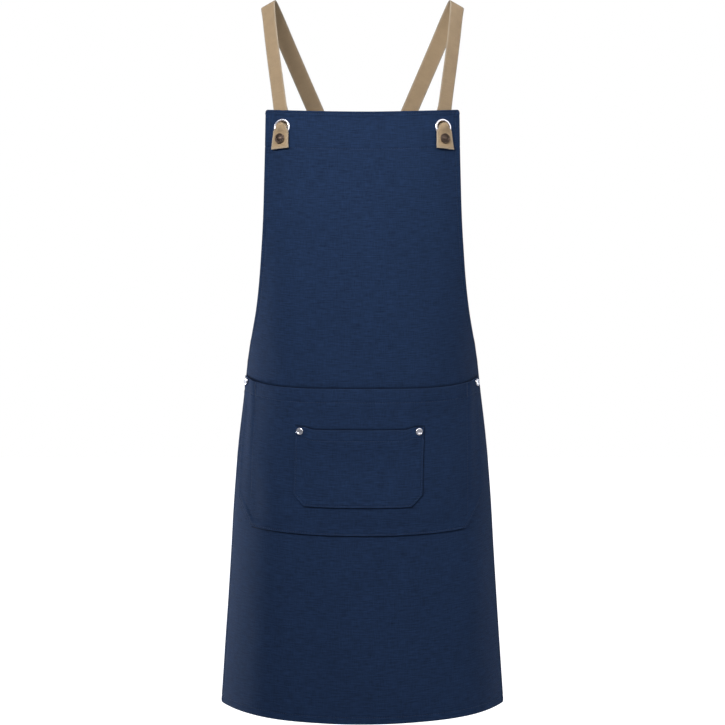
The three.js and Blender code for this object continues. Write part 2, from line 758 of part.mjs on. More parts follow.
Object.keys(sides).forEach((name, index) => {
  const eyelet = eyeletFrames[index];
  const snap = snapPlaces[index];
  addPiece(`wide_pocket_rivet_${name}`, pocketRivets[index].mesh, nickel);
  addPiece(`small_pocket_rivet_${name}`, patchRivets[index].mesh, nickel);
  addPiece(`eyelet_${name}`, turnedPiece(eyeletProfile(), eyelet, eyeletSides), nickel);
  addPiece(`snap_stud_${name}`, turnedPiece(snapStudProfile(), snap), darkBrass);
  addPiece(`snap_cap_${name}`, turnedPiece(snapCapProfile(), snap), darkBrass);
  const strap = boreThrough(makeStrap(eyelet, -eyelet.side), [snap], snapPostRadius + layerGap);
  addPiece(`strap_${name}`, new THREE.Mesh(strap), tanWebbing);
});

export default apron;
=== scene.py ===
# A cross-back bib apron in its worn form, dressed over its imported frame: navy canvas with turned and
# stitched hems, two patch pockets with rivets, and tan webbing straps through nickel eyelets. Lengths
# are in millimetres, and a piece's points become metres when its mesh is made. "across" is measured
# along the cloth from its centre line, "drop" down from the bib's top edge, and "height" outward from
# the apron's front face.
from functools import partial
from types import SimpleNamespace

import bmesh
import bpy
import numpy as np
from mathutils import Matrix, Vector


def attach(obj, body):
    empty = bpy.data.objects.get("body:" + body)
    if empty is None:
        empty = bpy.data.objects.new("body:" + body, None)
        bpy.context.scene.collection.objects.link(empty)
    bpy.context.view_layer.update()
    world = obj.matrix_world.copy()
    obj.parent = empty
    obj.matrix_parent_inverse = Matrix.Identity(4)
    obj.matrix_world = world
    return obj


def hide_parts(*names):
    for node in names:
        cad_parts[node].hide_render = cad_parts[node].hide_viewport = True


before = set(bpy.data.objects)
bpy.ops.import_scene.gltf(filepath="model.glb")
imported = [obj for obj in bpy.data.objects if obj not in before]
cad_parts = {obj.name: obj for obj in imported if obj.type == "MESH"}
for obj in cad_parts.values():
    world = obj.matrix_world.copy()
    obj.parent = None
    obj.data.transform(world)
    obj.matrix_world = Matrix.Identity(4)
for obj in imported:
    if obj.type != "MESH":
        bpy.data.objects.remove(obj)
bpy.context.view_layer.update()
MM = 0.001
SIDES = {"left": -1, "right": 1}

# Cloth layers, turned hems and the apron's flat sizes
CLOTH_THICKNESS = 1.0
LAYER_GAP = 0.4
APRON_LENGTH = 877
HEM_WIDTH = 511
CORNER_RADIUS = 5
FACING_DEPTH = 57
SIDE_HEM = 10
BOTTOM_HEM = 12
HEM_STEP = 0.8

# How the cloth hangs: its level sections from the bib's top edge to the hem, and its soft folds
BIB_TOP_DROP = 175
FRONT_REACH = 142
SIDE_LIFT = 20
SECTION_STEPS = 24
BODY_SECTIONS = {
    "at": [0.0, 0.1, 0.22, 0.34, 0.45, 0.6, 0.8, 1.0],
    "width": [0.576, 0.589, 0.625, 0.702, 0.844, 0.908, 0.949, 1.0],
    "turn": [31, 36, 45, 57, 71, 70, 67, 65],
    "roundness": [1.5, 1.5, 1.45, 1.4, 1.3, 1.3, 1.25, 1.2],
    "front": [0.73, 0.82, 0.86, 0.86, 0.85, 0.89, 0.94, 1.0],
    "lift": [0.35, 0.4, 0.45, 0.65, 1.0, 0.98, 0.75, 0.55],
    "lift_power": [2.0, 2.0, 2.0, 2.6, 3.4, 2.5, 2.0, 2.0],
}
FOLD_HEIGHT = 5
FOLD_FADE = 0.14
FOLDS = {
    "across": [-0.02, -0.52, -0.25, 0.3, 0.62, 0.36, -0.36, 0.05],
    "start": [0.62, 0.6, 0.7, 0.68, 0.66, 0.02, 0.04, 0.1],
    "end": [1.0, 1.3, 1.3, 1.3, 1.3, 0.4, 0.36, 0.44],
    "spread": [0.1, 0.24, 0.16, 0.22, 0.2, 0.18, 0.18, 0.2],
    "height": [0.28, 0.6, -0.36, -0.5, 0.55, -0.3, -0.22, 0.3],
}
WRINKLE_SEED = 11
WRINKLE_COUNT = 14
WRINKLE_HEIGHT = 0.42
WRINKLE_LEAN = 24
WRINKLE_SHORTEST = 46
WRINKLE_LONGER = 120
WRINKLE_SWAY = 0.35
WRINKLE_SWAY_LENGTH = 150
CALM_BIB_DROP = 70
CALM_BIB_FADE = 80
CALM_BIB_SHARE = 0.35


def pocket_sizes(width, depth, mouth, **more):
    sizes = {"width": width, "depth": depth, "mouth": mouth, "half": width / 2, "bottom": mouth + depth}
    return SimpleNamespace(**sizes, **more)


# Pockets. fold_fade: over what length the turned-under sides begin below the hem. wave_way: which way the
# edge's puckers run. spacing: of the mesh lines.
WIDE = pocket_sizes(421, 210, 400, chamfer=42, hem=22, slack=8, fold_fade=20, wave_way=1, spacing=3.4)
PATCH = pocket_sizes(
    185, 114, WIDE.mouth + 56, chamfer=16, hem=18, slack=2.4, fold_fade=15, wave_way=-1, spacing=2.6
)
SIDE_SLACK = 1.4
DIVIDER_INSET = 43
DIVIDER_AT = WIDE.half - DIVIDER_INSET
POCKET_SHIFT = -3
POCKET_LEAN = -5
BELLY_HEIGHT = 3.2
BELLY_TOP = 500
BELLY_RISE = 62
BELLY_FALL = 30
BELLY_ABOVE_SEAM = 3
BELLY_SIDE_FADE = 50
BELLY_LUMP_WIDTHS = (26, 11.5)
BELLY_LUMP_SLANT = 60
PATCH_MOUTH_SAG = 3.4
SAG_FROM_RIVET = 5
SAG_FADE = 16
SAG_DEPTH_SHARE = 0.7

# Rivets, eyelets and snap buttons
RIVET_HEAD_RADIUS = 5.4
RIVET_HEAD_HEIGHT = 1.7
RIVET_DISH = 0.7
RIVET_POST_RADIUS = 1.4
RIVET_WASHER_RADIUS = 4.2
RIVET_WASHER_THICKNESS = 0.8
RIVET_INSET = 8
RIVET_DROP = 6.5
RIVET_MARGIN = 15
EYELET_INSET = 28
EYELET_DROP = 26
EYELET_HOLE_RADIUS = 9.3
EYELET_FLANGE_RADIUS = 12.8
EYELET_HEIGHT = 1.8
EYELET_BACK_HEIGHT = 1.2
EYELET_BARREL = 0.8
EYELET_FLAT = 14
SNAP_BELOW_EYELET = 17.2
SNAP_CAP_RADIUS = 7.4
SNAP_CAP_HEIGHT = 2.6
SNAP_POST_RADIUS = 2.0
SNAP_STUD_RADIUS = 4.0
SNAP_SOCKET_WALL = 0.8
SNAP_STUD_HEIGHT = 1.8
LATHE_SIDES = 56
SHARP_EDGE = 50
WAY_ROUND_SCALE = 4
BORE_SIDES = 40
BORE_DEPTH = 30

# Webbing straps
STRAP_WIDTH = 25
STRAP_THICKNESS = 1.5
STRAP_ROW_SPACING = 2.4
STRAP_END_STEPS = (0, 0.08, 0.3, 0.7)
STRAP_EVEN_FROM = 1.4
STRAP_SAMPLES = 4000
TAB_LENGTH = 32
TAB_LEAN = -3
HOLE_LEAN = -10
STRAP_LEAN = -18
SHOULDER_SPAN = 282
BACK_REACH = 104
CROSSING_DROP = 313
CROSSING_SPREAD = 0.7
CROSSING_GAP = 0.9
SEAM_DROP = 378
SEAM_LENGTH = 44
SEAM_ANGLE = 26
SEAM_STATIONS = [0.12, -0.44, -1]

# The tab's cut end: its flare outwards and its lift, more on the right, its inward spread and its slant
TAB_FLARE = {-1: 0.7, 1: 1.6}
TAB_WAVE = {-1: 0.2, 1: 0.8}
TAB_WAVE_START = 0.6
TAB_WAVE_TURN = 2.6
TAB_FLARE_LENGTH = 13
TAB_SPREAD = 1.8
TAB_SPREAD_LENGTH = 24
TAB_SLANT = 1.1

# Stitching, with the hollows and puckers beside it, and the folds along sewn edges
STITCH_LENGTH = 2.9
STITCH_PITCH = 3.5
THREAD_RADIUS = 0.24
THREAD_TAPER = 0.93
THREAD_SINK = 0.4 * THREAD_RADIUS
THREAD_SIDES = 6
STITCH_RINGS = 6
STITCH_ARCH = 0.2
HOLLOW_DEPTH = 0.4
HOLLOW_WIDTH = 0.85
TOP_HOLLOW = 1.5
INNER_HOLLOW = 0.6
PUCKER_HEIGHT = 0.11
PUCKER_LENGTHS = (8.3, 13.1)
PUCKER_SECOND = 0.7
PUCKER_SPREAD = 5
DIVIDER_PUCKER = 0.7
TOP_STITCH = 4
SIDE_STITCH = 8
FACING_STITCH = 55
BOTTOM_STITCH = 10
EDGE_STITCH = 2.6
HEM_STITCH_INSET = 2
ROW_GAP = 2
SIDE_ROW_GAP = 3
DIVIDER_ROW_OFFSET = 5.6
ROLLED_DEPTH = 5.5
ROLLED_STEP = 3.0
ROLLED_LIFT = 0.8
TURNED_EDGE = 6.5
TURNED_EDGE_STEP = 1.6
TURNED_EDGE_LIFT = 0.8
TACK_PITCH = 0.62
TACK_WIDTH = 2.6
TACK_SLANT = 0.28
TACK_ARCH = 0.42
TACK_MARGIN = 1.5


def smooth_step(value):
    share = np.clip(value, 0, 1)
    return share * share * (3 - 2 * share)


def follow(table, column, place):
    """One column of a table at places between its rows, on a smooth curve through them."""
    at = np.array(table["at"], float)
    value = np.array(table[column], float)
    rise = np.diff(value) / np.diff(at)
    slope = np.concatenate([rise[:1], (rise[:-1] + rise[1:]) / 2, rise[-1:]])
    low = np.clip(np.searchsorted(at, place) - 1, 0, len(at) - 2)
    span = at[low + 1] - at[low]
    share = (place - at[low]) / span
    squared = share**2
    cubed = share**3
    return (
        (2 * cubed - 3 * squared + 1) * value[low]
        + (cubed - 2 * squared + share) * span * slope[low]
        + (3 * squared - 2 * cubed) * value[low + 1]
        + (cubed - squared) * span * slope[low + 1]
    )


def half_width_at(drop):
    return HEM_WIDTH / 2 * follow(BODY_SECTIONS, "width", drop / APRON_LENGTH)


def body_point(across, drop):
    """A point of the smooth body form, whose level sections turn more and more towards their edges."""
    place = drop / APRON_LENGTH
    half_width = half_width_at(drop)
    turn = np.radians(follow(BODY_SECTIONS, "turn", place))
    roundness = follow(BODY_SECTIONS, "roundness", place)
    reach = np.abs(across)
    step = reach / SECTION_STEPS
    sideways = np.zeros(np.shape(reach))
    backward = np.zeros(np.shape(reach))
    for index in range(SECTION_STEPS):
        angle = turn * ((index + 0.5) * step / half_width) ** roundness
        sideways += np.cos(angle) * step
        backward += np.sin(angle) * step
    front = -FRONT_REACH * follow(BODY_SECTIONS, "front", place)
    lift_share = (reach / half_width) ** follow(BODY_SECTIONS, "lift_power", place)
    lift = SIDE_LIFT * follow(BODY_SECTIONS, "lift", place) * lift_share
    return np.stack([np.sign(across) * sideways, front + backward, lift - BIB_TOP_DROP - drop], -1)


def unit(vectors):
    return vectors / np.linalg.norm(vectors, axis=-1, keepdims=True)


def frame_on(surface, across, drop):
    """Points of a surface, and its right, down and outward directions there."""
    across, drop = np.broadcast_arrays(np.asarray(across, float), np.asarray(drop, float))
    step = 0.5
    right = unit(surface(across + step, drop) - surface(across - step, drop))
    fall = unit(surface(across, drop + step) - surface(across, drop - step))
    outward = unit(np.cross(fall, right))
    down = np.cross(right, outward)
    return {"point": surface(across, drop), "right": right, "down": down, "outward": outward}


def raised_point(base, height):
    return base["point"] + base["outward"] * np.asarray(height)[..., None]


def fold_at(across, drop):
    place = drop / APRON_LENGTH
    sideways = across / (HEM_WIDTH / 2)
    height = 0
    for at, start, end, spread, rise in zip(*FOLDS.values()):
        along = smooth_step((place - start) / FOLD_FADE) * smooth_step((end - place) / FOLD_FADE)
        height = height + FOLD_HEIGHT * rise * along * np.exp(-(((sideways - at) / spread) ** 2))
    return height


def folded_point(across, drop):
    return raised_point(frame_on(body_point, across, drop), fold_at(across, drop))


def eyelet_frame(side):
    across = side * (half_width_at(0) - EYELET_INSET)
    return {"side": side, **frame_on(folded_point, across, EYELET_DROP)}


EYELETS = {name: eyelet_frame(side) for name, side in SIDES.items()}
WRINKLES = np.random.default_rng(WRINKLE_SEED).uniform(0, 1, (WRINKLE_COUNT, 4))


def wrinkle_at(across, drop):
    """Faint, wide undulations of hanging canvas, mostly running down, which no two aprons share."""
    height = 0
    for turn, size, phase, share in WRINKLES:
        direction = np.radians(WRINKLE_LEAN * (2 * turn - 1))
        along = across * np.cos(direction) + drop * np.sin(direction)
        length = WRINKLE_SHORTEST + WRINKLE_LONGER * size
        sway = WRINKLE_SWAY * np.sin(drop / WRINKLE_SWAY_LENGTH + 6 * phase)
        height = height + share * np.sin(2 * np.pi * (along / length + phase + sway))
    below_bib_top = smooth_step((drop - CALM_BIB_DROP) / CALM_BIB_FADE)
    calm = CALM_BIB_SHARE + (1 - CALM_BIB_SHARE) * below_bib_top
    return WRINKLE_HEIGHT * height / np.sqrt(len(WRINKLES)) * calm


def cloth_point(across, drop):
    """The front face of the apron's cloth with its folds, flat where the eyelets press on it."""
    height = fold_at(across, drop) + wrinkle_at(across, drop)
    point = raised_point(frame_on(body_point, across, drop), height)
    for eyelet in EYELETS.values():
        away = point - eyelet["point"]
        flatness = 1 - smooth_step((np.linalg.norm(away, axis=-1) - EYELET_FLAT) / EYELET_FLAT)
        out = np.sum(away * eyelet["outward"], axis=-1)
        point = point - (flatness * out)[..., None] * eyelet["outward"]
    return point


def layer_frame(height_at, across, drop):
    """The frame on a layer of cloth whose face lies that high above the apron's front face."""

    def surface(sideways, fall):
        return raised_point(frame_on(cloth_point, sideways, fall), height_at(sideways, fall))

    return frame_on(surface, across, drop)


# Heights of the cloth's faces


def fall_at_edge(inward, radius):
    """How far a folded edge's face has fallen away, that far in from the edge."""
    short = np.clip(radius - inward, 0, radius)
    return radius - np.sqrt(radius**2 - short**2)


def stitch_hollow(distance):
    return HOLLOW_DEPTH * np.exp(-((distance / HOLLOW_WIDTH) ** 2))


def pucker(along, distance):
    """The small waves that a row of stitches gathers into the cloth beside it."""
    first, second = (2 * np.pi * along / length for length in PUCKER_LENGTHS)
    wave = np.sin(first) + PUCKER_SECOND * np.sin(second + 1)
    return PUCKER_HEIGHT * wave * np.exp(-((distance / PUCKER_SPREAD) ** 2))


def inside_panel(across, drop):
    """How far a place lies in from the apron's outline, with its rounded corners."""
    beside = np.abs(across) - (half_width_at(drop) - CORNER_RADIUS)
    beyond = np.maximum(CORNER_RADIUS - drop, drop - (APRON_LENGTH - CORNER_RADIUS))
    outside = np.hypot(np.maximum(beside, 0), np.maximum(beyond, 0))
    return CORNER_RADIUS - outside - np.minimum(np.maximum(beside, beyond), 0)


def panel_seams(across, drop):
    """Distances from the apron's rows of stitches: side hems, top edge, facing and bottom hem."""
    side = half_width_at(drop) - np.abs(across) - SIDE_STITCH
    return side, drop - TOP_STITCH, drop - FACING_STITCH, APRON_LENGTH - BOTTOM_STITCH - drop


def panel_outer(across, drop):
    side, top, facing, bottom = panel_seams(across, drop)
    hollows = stitch_hollow(facing) + stitch_hollow(bottom) + TOP_HOLLOW * stitch_hollow(top / TOP_HOLLOW)
    waves = pucker(drop, side) + sum(pucker(across, row) for row in (facing, bottom, top))
    rolled = ROLLED_LIFT * (1 - smooth_step((drop - ROLLED_DEPTH) / ROLLED_STEP))
    rounding = fall_at_edge(inside_panel(across, drop), CLOTH_THICKNESS)
    return waves - hollows - stitch_hollow(side) + rolled - rounding


def turned_share(across, drop):
    """1 where the cloth is doubled by its hems and the bib's facing, 0 elsewhere."""
    facing = smooth_step((FACING_DEPTH + HEM_STEP - drop) / HEM_STEP)
    side = smooth_step((np.abs(across) - half_width_at(drop) + SIDE_HEM + HEM_STEP) / HEM_STEP)
    bottom = smooth_step((drop - APRON_LENGTH + BOTTOM_HEM + HEM_STEP) / HEM_STEP)
    return np.maximum(np.maximum(facing, side), bottom)


def panel_inner(across, drop):
    turned = turned_share(across, drop)
    hollows = sum(stitch_hollow(row) for row in panel_seams(across, drop))
    flat = -CLOTH_THICKNESS * (1 + turned) + INNER_HOLLOW * turned * hollows
    return flat + fall_at_edge(inside_panel(across, drop), CLOTH_THICKNESS)


def pocket_centre(drop):
    return POCKET_SHIFT + POCKET_LEAN * (drop - WIDE.mouth) / WIDE.depth


def belly_at(across, drop):
    """The wide pocket's fullness above its bottom seam, in soft lumps."""
    from_centre = across - pocket_centre(drop)
    above_seam = WIDE.bottom - BELLY_ABOVE_SEAM - drop
    down = smooth_step(above_seam / BELLY_FALL) * smooth_step((drop - BELLY_TOP) / BELLY_RISE)
    wide, narrow = (from_centre / width for width in BELLY_LUMP_WIDTHS)
    lumps = 0.75 + 0.25 * np.sin(wide + 0.8) + 0.2 * np.sin(narrow + drop / BELLY_LUMP_SLANT)
    inside = smooth_step((DIVIDER_AT - np.abs(from_centre)) / BELLY_SIDE_FADE)
    return BELLY_HEIGHT * down * lumps * inside


def slack_at(pocket, across, drop):
    """How far a pocket stands off from the cloth behind it, between its upright seams."""
    from_centre = np.abs(across - pocket_centre(drop))
    down = smooth_step((pocket.bottom - drop) / pocket.depth)
    reach = DIVIDER_AT if pocket is WIDE else pocket.half
    middle = pocket.slack * down * np.cos(np.pi / 2 * np.minimum(from_centre / reach, 1)) ** 2
    if pocket is PATCH:
        return middle
    in_side = np.clip((from_centre - DIVIDER_AT) / (DIVIDER_INSET - RIVET_MARGIN), 0, 1)
    beside = SIDE_SLACK * down * np.sin(np.pi * in_side) ** 2
    return np.where(from_centre < DIVIDER_AT, middle + belly_at(across, drop), beside)


def inside_sewn(pocket, across, drop):
    """How far a place lies in from a pocket's sewn edge, with its two lower corners cut off."""
    beside = pocket.half - np.abs(across - pocket_centre(drop))
    above = pocket.bottom - drop
    cut = (beside + above - pocket.chamfer) / np.sqrt(2)
    return np.maximum(np.minimum(beside, np.minimum(above, cut)), 0)


def inside_pocket(pocket, across, drop):
    return np.minimum(inside_sewn(pocket, across, drop), np.maximum(drop - pocket.mouth, 0))


def pocket_faces(pocket, across, drop):
    """Heights of a pocket's face before its edges are rounded, and of its outer and inner face."""
    inward = inside_sewn(pocket, across, drop)
    below_hem = drop - pocket.mouth - pocket.hem
    rows = [inward - EDGE_STITCH, below_hem + HEM_STITCH_INSET]
    waves = pucker(across + pocket.wave_way * drop, rows[0]) + pucker(across, rows[1])
    if pocket is WIDE:
        from_divider = np.abs(np.abs(across - pocket_centre(drop)) - DIVIDER_AT)
        rows.append(np.abs(from_divider - DIVIDER_ROW_OFFSET))
        waves = waves + DIVIDER_PUCKER * pucker(drop, rows[2])
        under = 0
    else:
        under = wide_body(across, drop)
    hollows = sum(stitch_hollow(row) for row in rows)
    folded = TURNED_EDGE_LIFT * (1 - smooth_step((inward - TURNED_EDGE) / TURNED_EDGE_STEP))
    folded = folded * smooth_step(below_hem / pocket.fold_fade)
    lift = CLOTH_THICKNESS * (1 - smooth_step(below_hem / pocket.hem)) + slack_at(pocket, across, drop)
    body = under + LAYER_GAP + CLOTH_THICKNESS + lift + folded + waves - hollows
    thickness = CLOTH_THICKNESS * (1 + smooth_step((HEM_STEP - below_hem) / HEM_STEP))
    rounding = fall_at_edge(inside_pocket(pocket, across, drop), thickness / 2)
    return {"body": body, "outer": body - rounding, "inner": body + hollows - thickness - folded + rounding}


def pocket_face(pocket, face, across, drop):
    return pocket_faces(pocket, across, drop)[face]


def faces_of(pocket):
    return [partial(pocket_face, pocket, face) for face in ("body", "outer", "inner")]


wide_body, wide_outer, wide_inner = faces_of(WIDE)
patch_body, patch_outer, patch_inner = faces_of(PATCH)


def patch_sag(across, drop):
    """The small pocket's mouth hangs a little lower between its rivets."""
    from_rivet = PATCH.half - RIVET_INSET - SAG_FROM_RIVET - np.abs(across - pocket_centre(drop))
    down = 1 - smooth_step((drop - PATCH.mouth) / (PATCH.depth * SAG_DEPTH_SHARE))
    return PATCH_MOUTH_SAG * smooth_step(from_rivet / SAG_FADE) * down


# Meshes


def add_object(name, data):
    thing = bpy.data.objects.new(name, data)
    bpy.context.scene.collection.objects.link(thing)
    return thing


def make_piece(name, points, faces, material, places=None, wear=None):
    """A mesh object in metres, with its flat cloth coordinates and its rubbed places, if it has them."""
    mesh = bpy.data.meshes.new(name)
    mesh.from_pydata((np.asarray(points) * MM).tolist(), [], [list(face) for face in faces])
    if places is not None:
        corners = np.zeros(len(mesh.loops), int)
        mesh.loops.foreach_get("vertex_index", corners)
        layer = mesh.uv_layers.new(name="flat cloth")
        layer.data.foreach_set("uv", (np.asarray(places) * MM)[corners].ravel())
    if wear is not None:
        mesh.attributes.new("rubbed", "FLOAT", "POINT").data.foreach_set("value", np.asarray(wear, float))
    mesh.materials.append(material)
    mesh.shade_smooth()
    piece = add_object(name, mesh)
    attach(piece, "root")
    return piece


def grid_faces(index):
    corners = [index[:-1, :-1], index[1:, :-1], index[1:, 1:], index[:-1, 1:]]
    return np.stack(corners, -1).reshape(-1, 4)


def closed_skin(outer, inner):
    """Points and faces of two grids that meet along their shared rim."""
    rows, columns = outer.shape[:2]
    front = np.arange(rows * columns).reshape(rows, columns)
    rim = np.ones((rows, columns), bool)
    rim[1:-1, 1:-1] = False
    back = front.copy()
    back[~rim] = rows * columns + np.arange(np.count_nonzero(~rim))
    points = np.concatenate([outer.reshape(-1, outer.shape[-1]), inner[~rim]])
    return points, np.concatenate([grid_faces(front), grid_faces(back)[:, ::-1]])


EDGE_STEPS = [0, 0.06, 0.25, 0.55, 1.0, 1.8]
CORNER_STEPS = [1.5, 3.2, CORNER_RADIUS]
BESIDE_ROW = (-1.5, -0.8, -0.35, 0, 0.35, 0.8, 1.5)
BESIDE_SIDE_ROW = (-1.5, -0.6, 0, 0.6)
BESIDE_EDGE_ROW = (-0.5, 0, 0.5, 1.2)
BESIDE_DIVIDER_ROW = (-1.6, -0.8, 0, 0.8, 1.6)
LEAST_LINE_GAP = 0.45
PANEL_SPACING = 4.4
PANEL_COLUMNS = 104
RUBBED_WIDTH = 0.9


def beside_rows(rows, offsets=BESIDE_ROW):
    """Mesh lines on and beside each row of stitches."""
    return [row + offset for row in rows for offset in offsets]


def hem_end_lines(depth):
    """Mesh lines where a hem's second layer ends."""
    return [depth, depth + HEM_STEP / 2, depth + HEM_STEP]


def lines_between(start, end, spacing, extra):
    """Mesh lines from start to end, about that far apart, with the extra ones put in."""
    extra = np.unique(np.round([value for value in extra if start <= value <= end], 3))
    even = np.linspace(start, end, int((end - start) / spacing) + 1)
    least = spacing * LEAST_LINE_GAP
    clear = [value for value in even[1:-1] if np.min(np.abs(extra - value)) > least]
    return np.unique(np.concatenate([[start, end], extra, clear]))


def make_sheet(node, drops, acrosses, faces, inward_at, material, shift=None):
    """A sheet of cloth in place of a node, with its flat coordinates and its rubbed edges."""
    drop = np.broadcast_to(drops[:, None], acrosses.shape)
    lay = drop if shift is None else drop + shift(acrosses, drop)
    base = frame_on(cloth_point, acrosses, lay)
    flat = np.stack([acrosses, drop], -1)
    skins = [np.concatenate([raised_point(base, face(acrosses, drop)), flat], -1) for face in faces]
    points, polygons = closed_skin(*skins)
    flat = points[:, 3:]
    wear = np.exp(-((inward_at(flat[:, 0], flat[:, 1]) / RUBBED_WIDTH) ** 2))
    piece = make_piece(f"{node}_cloth", points[:, :3], polygons, material, flat, wear)
    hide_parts(node)
    return piece


def make_panel(material):
    top_lines = EDGE_STEPS + CORNER_STEPS + beside_rows([TOP_STITCH, FACING_STITCH])
    top_lines += hem_end_lines(FACING_DEPTH)
    top_lines += [ROLLED_DEPTH + ROLLED_STEP * share for share in (0, 0.25, 0.5, 0.75, 1)]
    bottom_lines = EDGE_STEPS + CORNER_STEPS + beside_rows([BOTTOM_STITCH]) + hem_end_lines(BOTTOM_HEM)
    lines = top_lines + [APRON_LENGTH - line for line in bottom_lines]
    drops = lines_between(0, APRON_LENGTH, PANEL_SPACING, lines)
    side_lines = EDGE_STEPS + beside_rows([SIDE_STITCH], BESIDE_SIDE_ROW) + hem_end_lines(SIDE_HEM)
    in_hem = np.array(sorted(set(side_lines)))
    middle = np.linspace(-1, 1, PANEL_COLUMNS)[1:-1]
    from_end = np.minimum(drops, APRON_LENGTH - drops)
    missing = np.maximum(CORNER_RADIUS - from_end, 0)
    edge = half_width_at(drops) - CORNER_RADIUS + np.sqrt(CORNER_RADIUS**2 - missing**2)
    hem_line = (edge - in_hem[-1])[:, None]
    left = -edge[:, None] + in_hem
    acrosses = np.concatenate([left, middle * hem_line, -left[:, ::-1]], axis=1)
    return make_sheet("apron_front", drops, acrosses, (panel_outer, panel_inner), inside_panel, material)


def make_pocket(node, pocket, faces, seam_columns, material, shift=None):
    edge_lines = sorted(set(EDGE_STEPS + beside_rows([EDGE_STITCH], BESIDE_EDGE_ROW)))
    top_lines = EDGE_STEPS + hem_end_lines(pocket.hem) + beside_rows([pocket.hem - HEM_STITCH_INSET])
    lines = [pocket.mouth + line for line in top_lines] + [pocket.bottom - line for line in edge_lines]
    lines.append(pocket.bottom - pocket.chamfer)
    drops = lines_between(pocket.mouth, pocket.bottom, pocket.spacing, lines)
    reach = pocket.half - np.maximum(drops - pocket.bottom + pocket.chamfer, 0)
    columns = [column / pocket.half for column in seam_columns]
    shares = lines_between(-1, 1, pocket.spacing / pocket.half, columns)
    squeezed = shares[np.abs(shares) < 1] * (reach - edge_lines[-1])[:, None]
    left = -reach[:, None] + np.array(edge_lines)
    acrosses = np.concatenate([left, squeezed, -left[:, ::-1]], axis=1) + pocket_centre(drops)[:, None]
    return make_sheet(node, drops, acrosses, faces, partial(inside_pocket, pocket), material, shift)


def bore_holes(piece, places, radius):
    """Cuts round holes through a sheet, along the cloth's own direction at each place."""
    cutter = bmesh.new()
    for place, reach in zip(places, np.broadcast_to(radius, len(places))):
        turn = Vector(place["outward"]).to_track_quat("Z", "Y").to_matrix().to_4x4()
        turn.translation = Vector(place["point"] * MM)
        size = {"radius1": reach * MM, "radius2": reach * MM, "depth": BORE_DEPTH * MM}
        bmesh.ops.create_cone(cutter, cap_ends=True, segments=BORE_SIDES, matrix=turn, **size)
    mesh = bpy.data.meshes.new("cutter")
    cutter.to_mesh(mesh)
    cutter.free()
    tool = add_object("cutter", mesh)
    cut = piece.modifiers.new("holes", "BOOLEAN")
    cut.operation = "DIFFERENCE"
    cut.object = tool
    graph = bpy.context.evaluated_depsgraph_get()
    bored = bpy.data.meshes.new_from_object(piece.evaluated_get(graph))
    piece.modifiers.clear()
    piece.data = bored
    bored.name = piece.name
    bpy.data.objects.remove(tool)
    bpy.data.meshes.remove(mesh)


# Metal fittings


def make_fitting(name, profile, place, material):
    """A turned piece on the place's outward axis. Its flat coordinates are radius and way round."""
    profile = np.array(profile, float)
    angles = np.linspace(0, 2 * np.pi, LATHE_SIDES, endpoint=False)
    upward = np.cross(place["outward"], place["right"])
    spokes = np.cos(angles)[:, None] * place["right"] + np.sin(angles)[:, None] * upward
    rings = place["point"] + profile[:, None, :1] * spokes + profile[:, None, 1:] * place["outward"]
    points = rings.reshape(-1, 3)
    index = np.arange(len(points)).reshape(len(profile), LATHE_SIDES)
    index = np.concatenate([index, index[:, :1]], axis=1)
    for ring in range(len(profile)):
        if profile[ring, 0] == 0:
            index[ring] = index[ring, 0]
    faces = [list(dict.fromkeys(face)) for face in grid_faces(index).tolist()]
    places = np.stack(np.broadcast_arrays(profile[:, :1], angles * WAY_ROUND_SCALE), -1).reshape(-1, 2)
    piece = make_piece(f"{name}_metal", points, faces, material, places)
    cleaner = bmesh.new()
    cleaner.from_mesh(piece.data)
    loose = [vertex for vertex in cleaner.verts if not vertex.link_faces]
    bmesh.ops.delete(cleaner, geom=loose, context="VERTS")
    bmesh.ops.remove_doubles(cleaner, verts=cleaner.verts, dist=1e-6)
    bmesh.ops.recalc_face_normals(cleaner, faces=cleaner.faces)
    cleaner.to_mesh(piece.data)
    cleaner.free()
    piece.data.set_sharp_from_angle(angle=np.radians(SHARP_EDGE))
    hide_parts(name)


def arc_points(centre, radii, start, end, steps=9):
    """Points of a rounded stretch of a turned profile, with its angles in degrees."""
    angles = np.radians(np.linspace(start, end, steps))
    return [(centre[0] + radii[0] * np.cos(a), centre[1] + radii[1] * np.sin(a)) for a in angles]


FACING_BACK = -2 * CLOTH_THICKNESS - LAYER_GAP
SNAP_STUD_TOP = LAYER_GAP + SNAP_STUD_HEIGHT
TAB_HEIGHT = SNAP_STUD_TOP + LAYER_GAP + STRAP_THICKNESS / 2


# Turned profiles, as points of radius and height from the back round to the front


def rivet_profile(grip):
    base = LAYER_GAP
    top = base + RIVET_HEAD_HEIGHT
    washer_top = -grip - LAYER_GAP
    washer_base = washer_top - RIVET_WASHER_THICKNESS
    rim = RIVET_HEAD_RADIUS * 0.72
    shoulder = arc_points((rim, base + 0.35), (RIVET_HEAD_RADIUS - rim, top - base - 0.35), 0, 90)
    dish = arc_points((0, top), (rim * 0.92, RIVET_DISH), 0, -90)
    return [
        (0, washer_base),
        (RIVET_WASHER_RADIUS * 0.82, washer_base),
        (RIVET_WASHER_RADIUS * 0.96, washer_base + 0.22),
        (RIVET_WASHER_RADIUS, washer_top),
        (RIVET_POST_RADIUS, washer_top),
        (RIVET_POST_RADIUS, base),
        (RIVET_HEAD_RADIUS * 0.97, base),
        *shoulder,
        *dish[:-1],
        (0, top - RIVET_DISH),
    ]


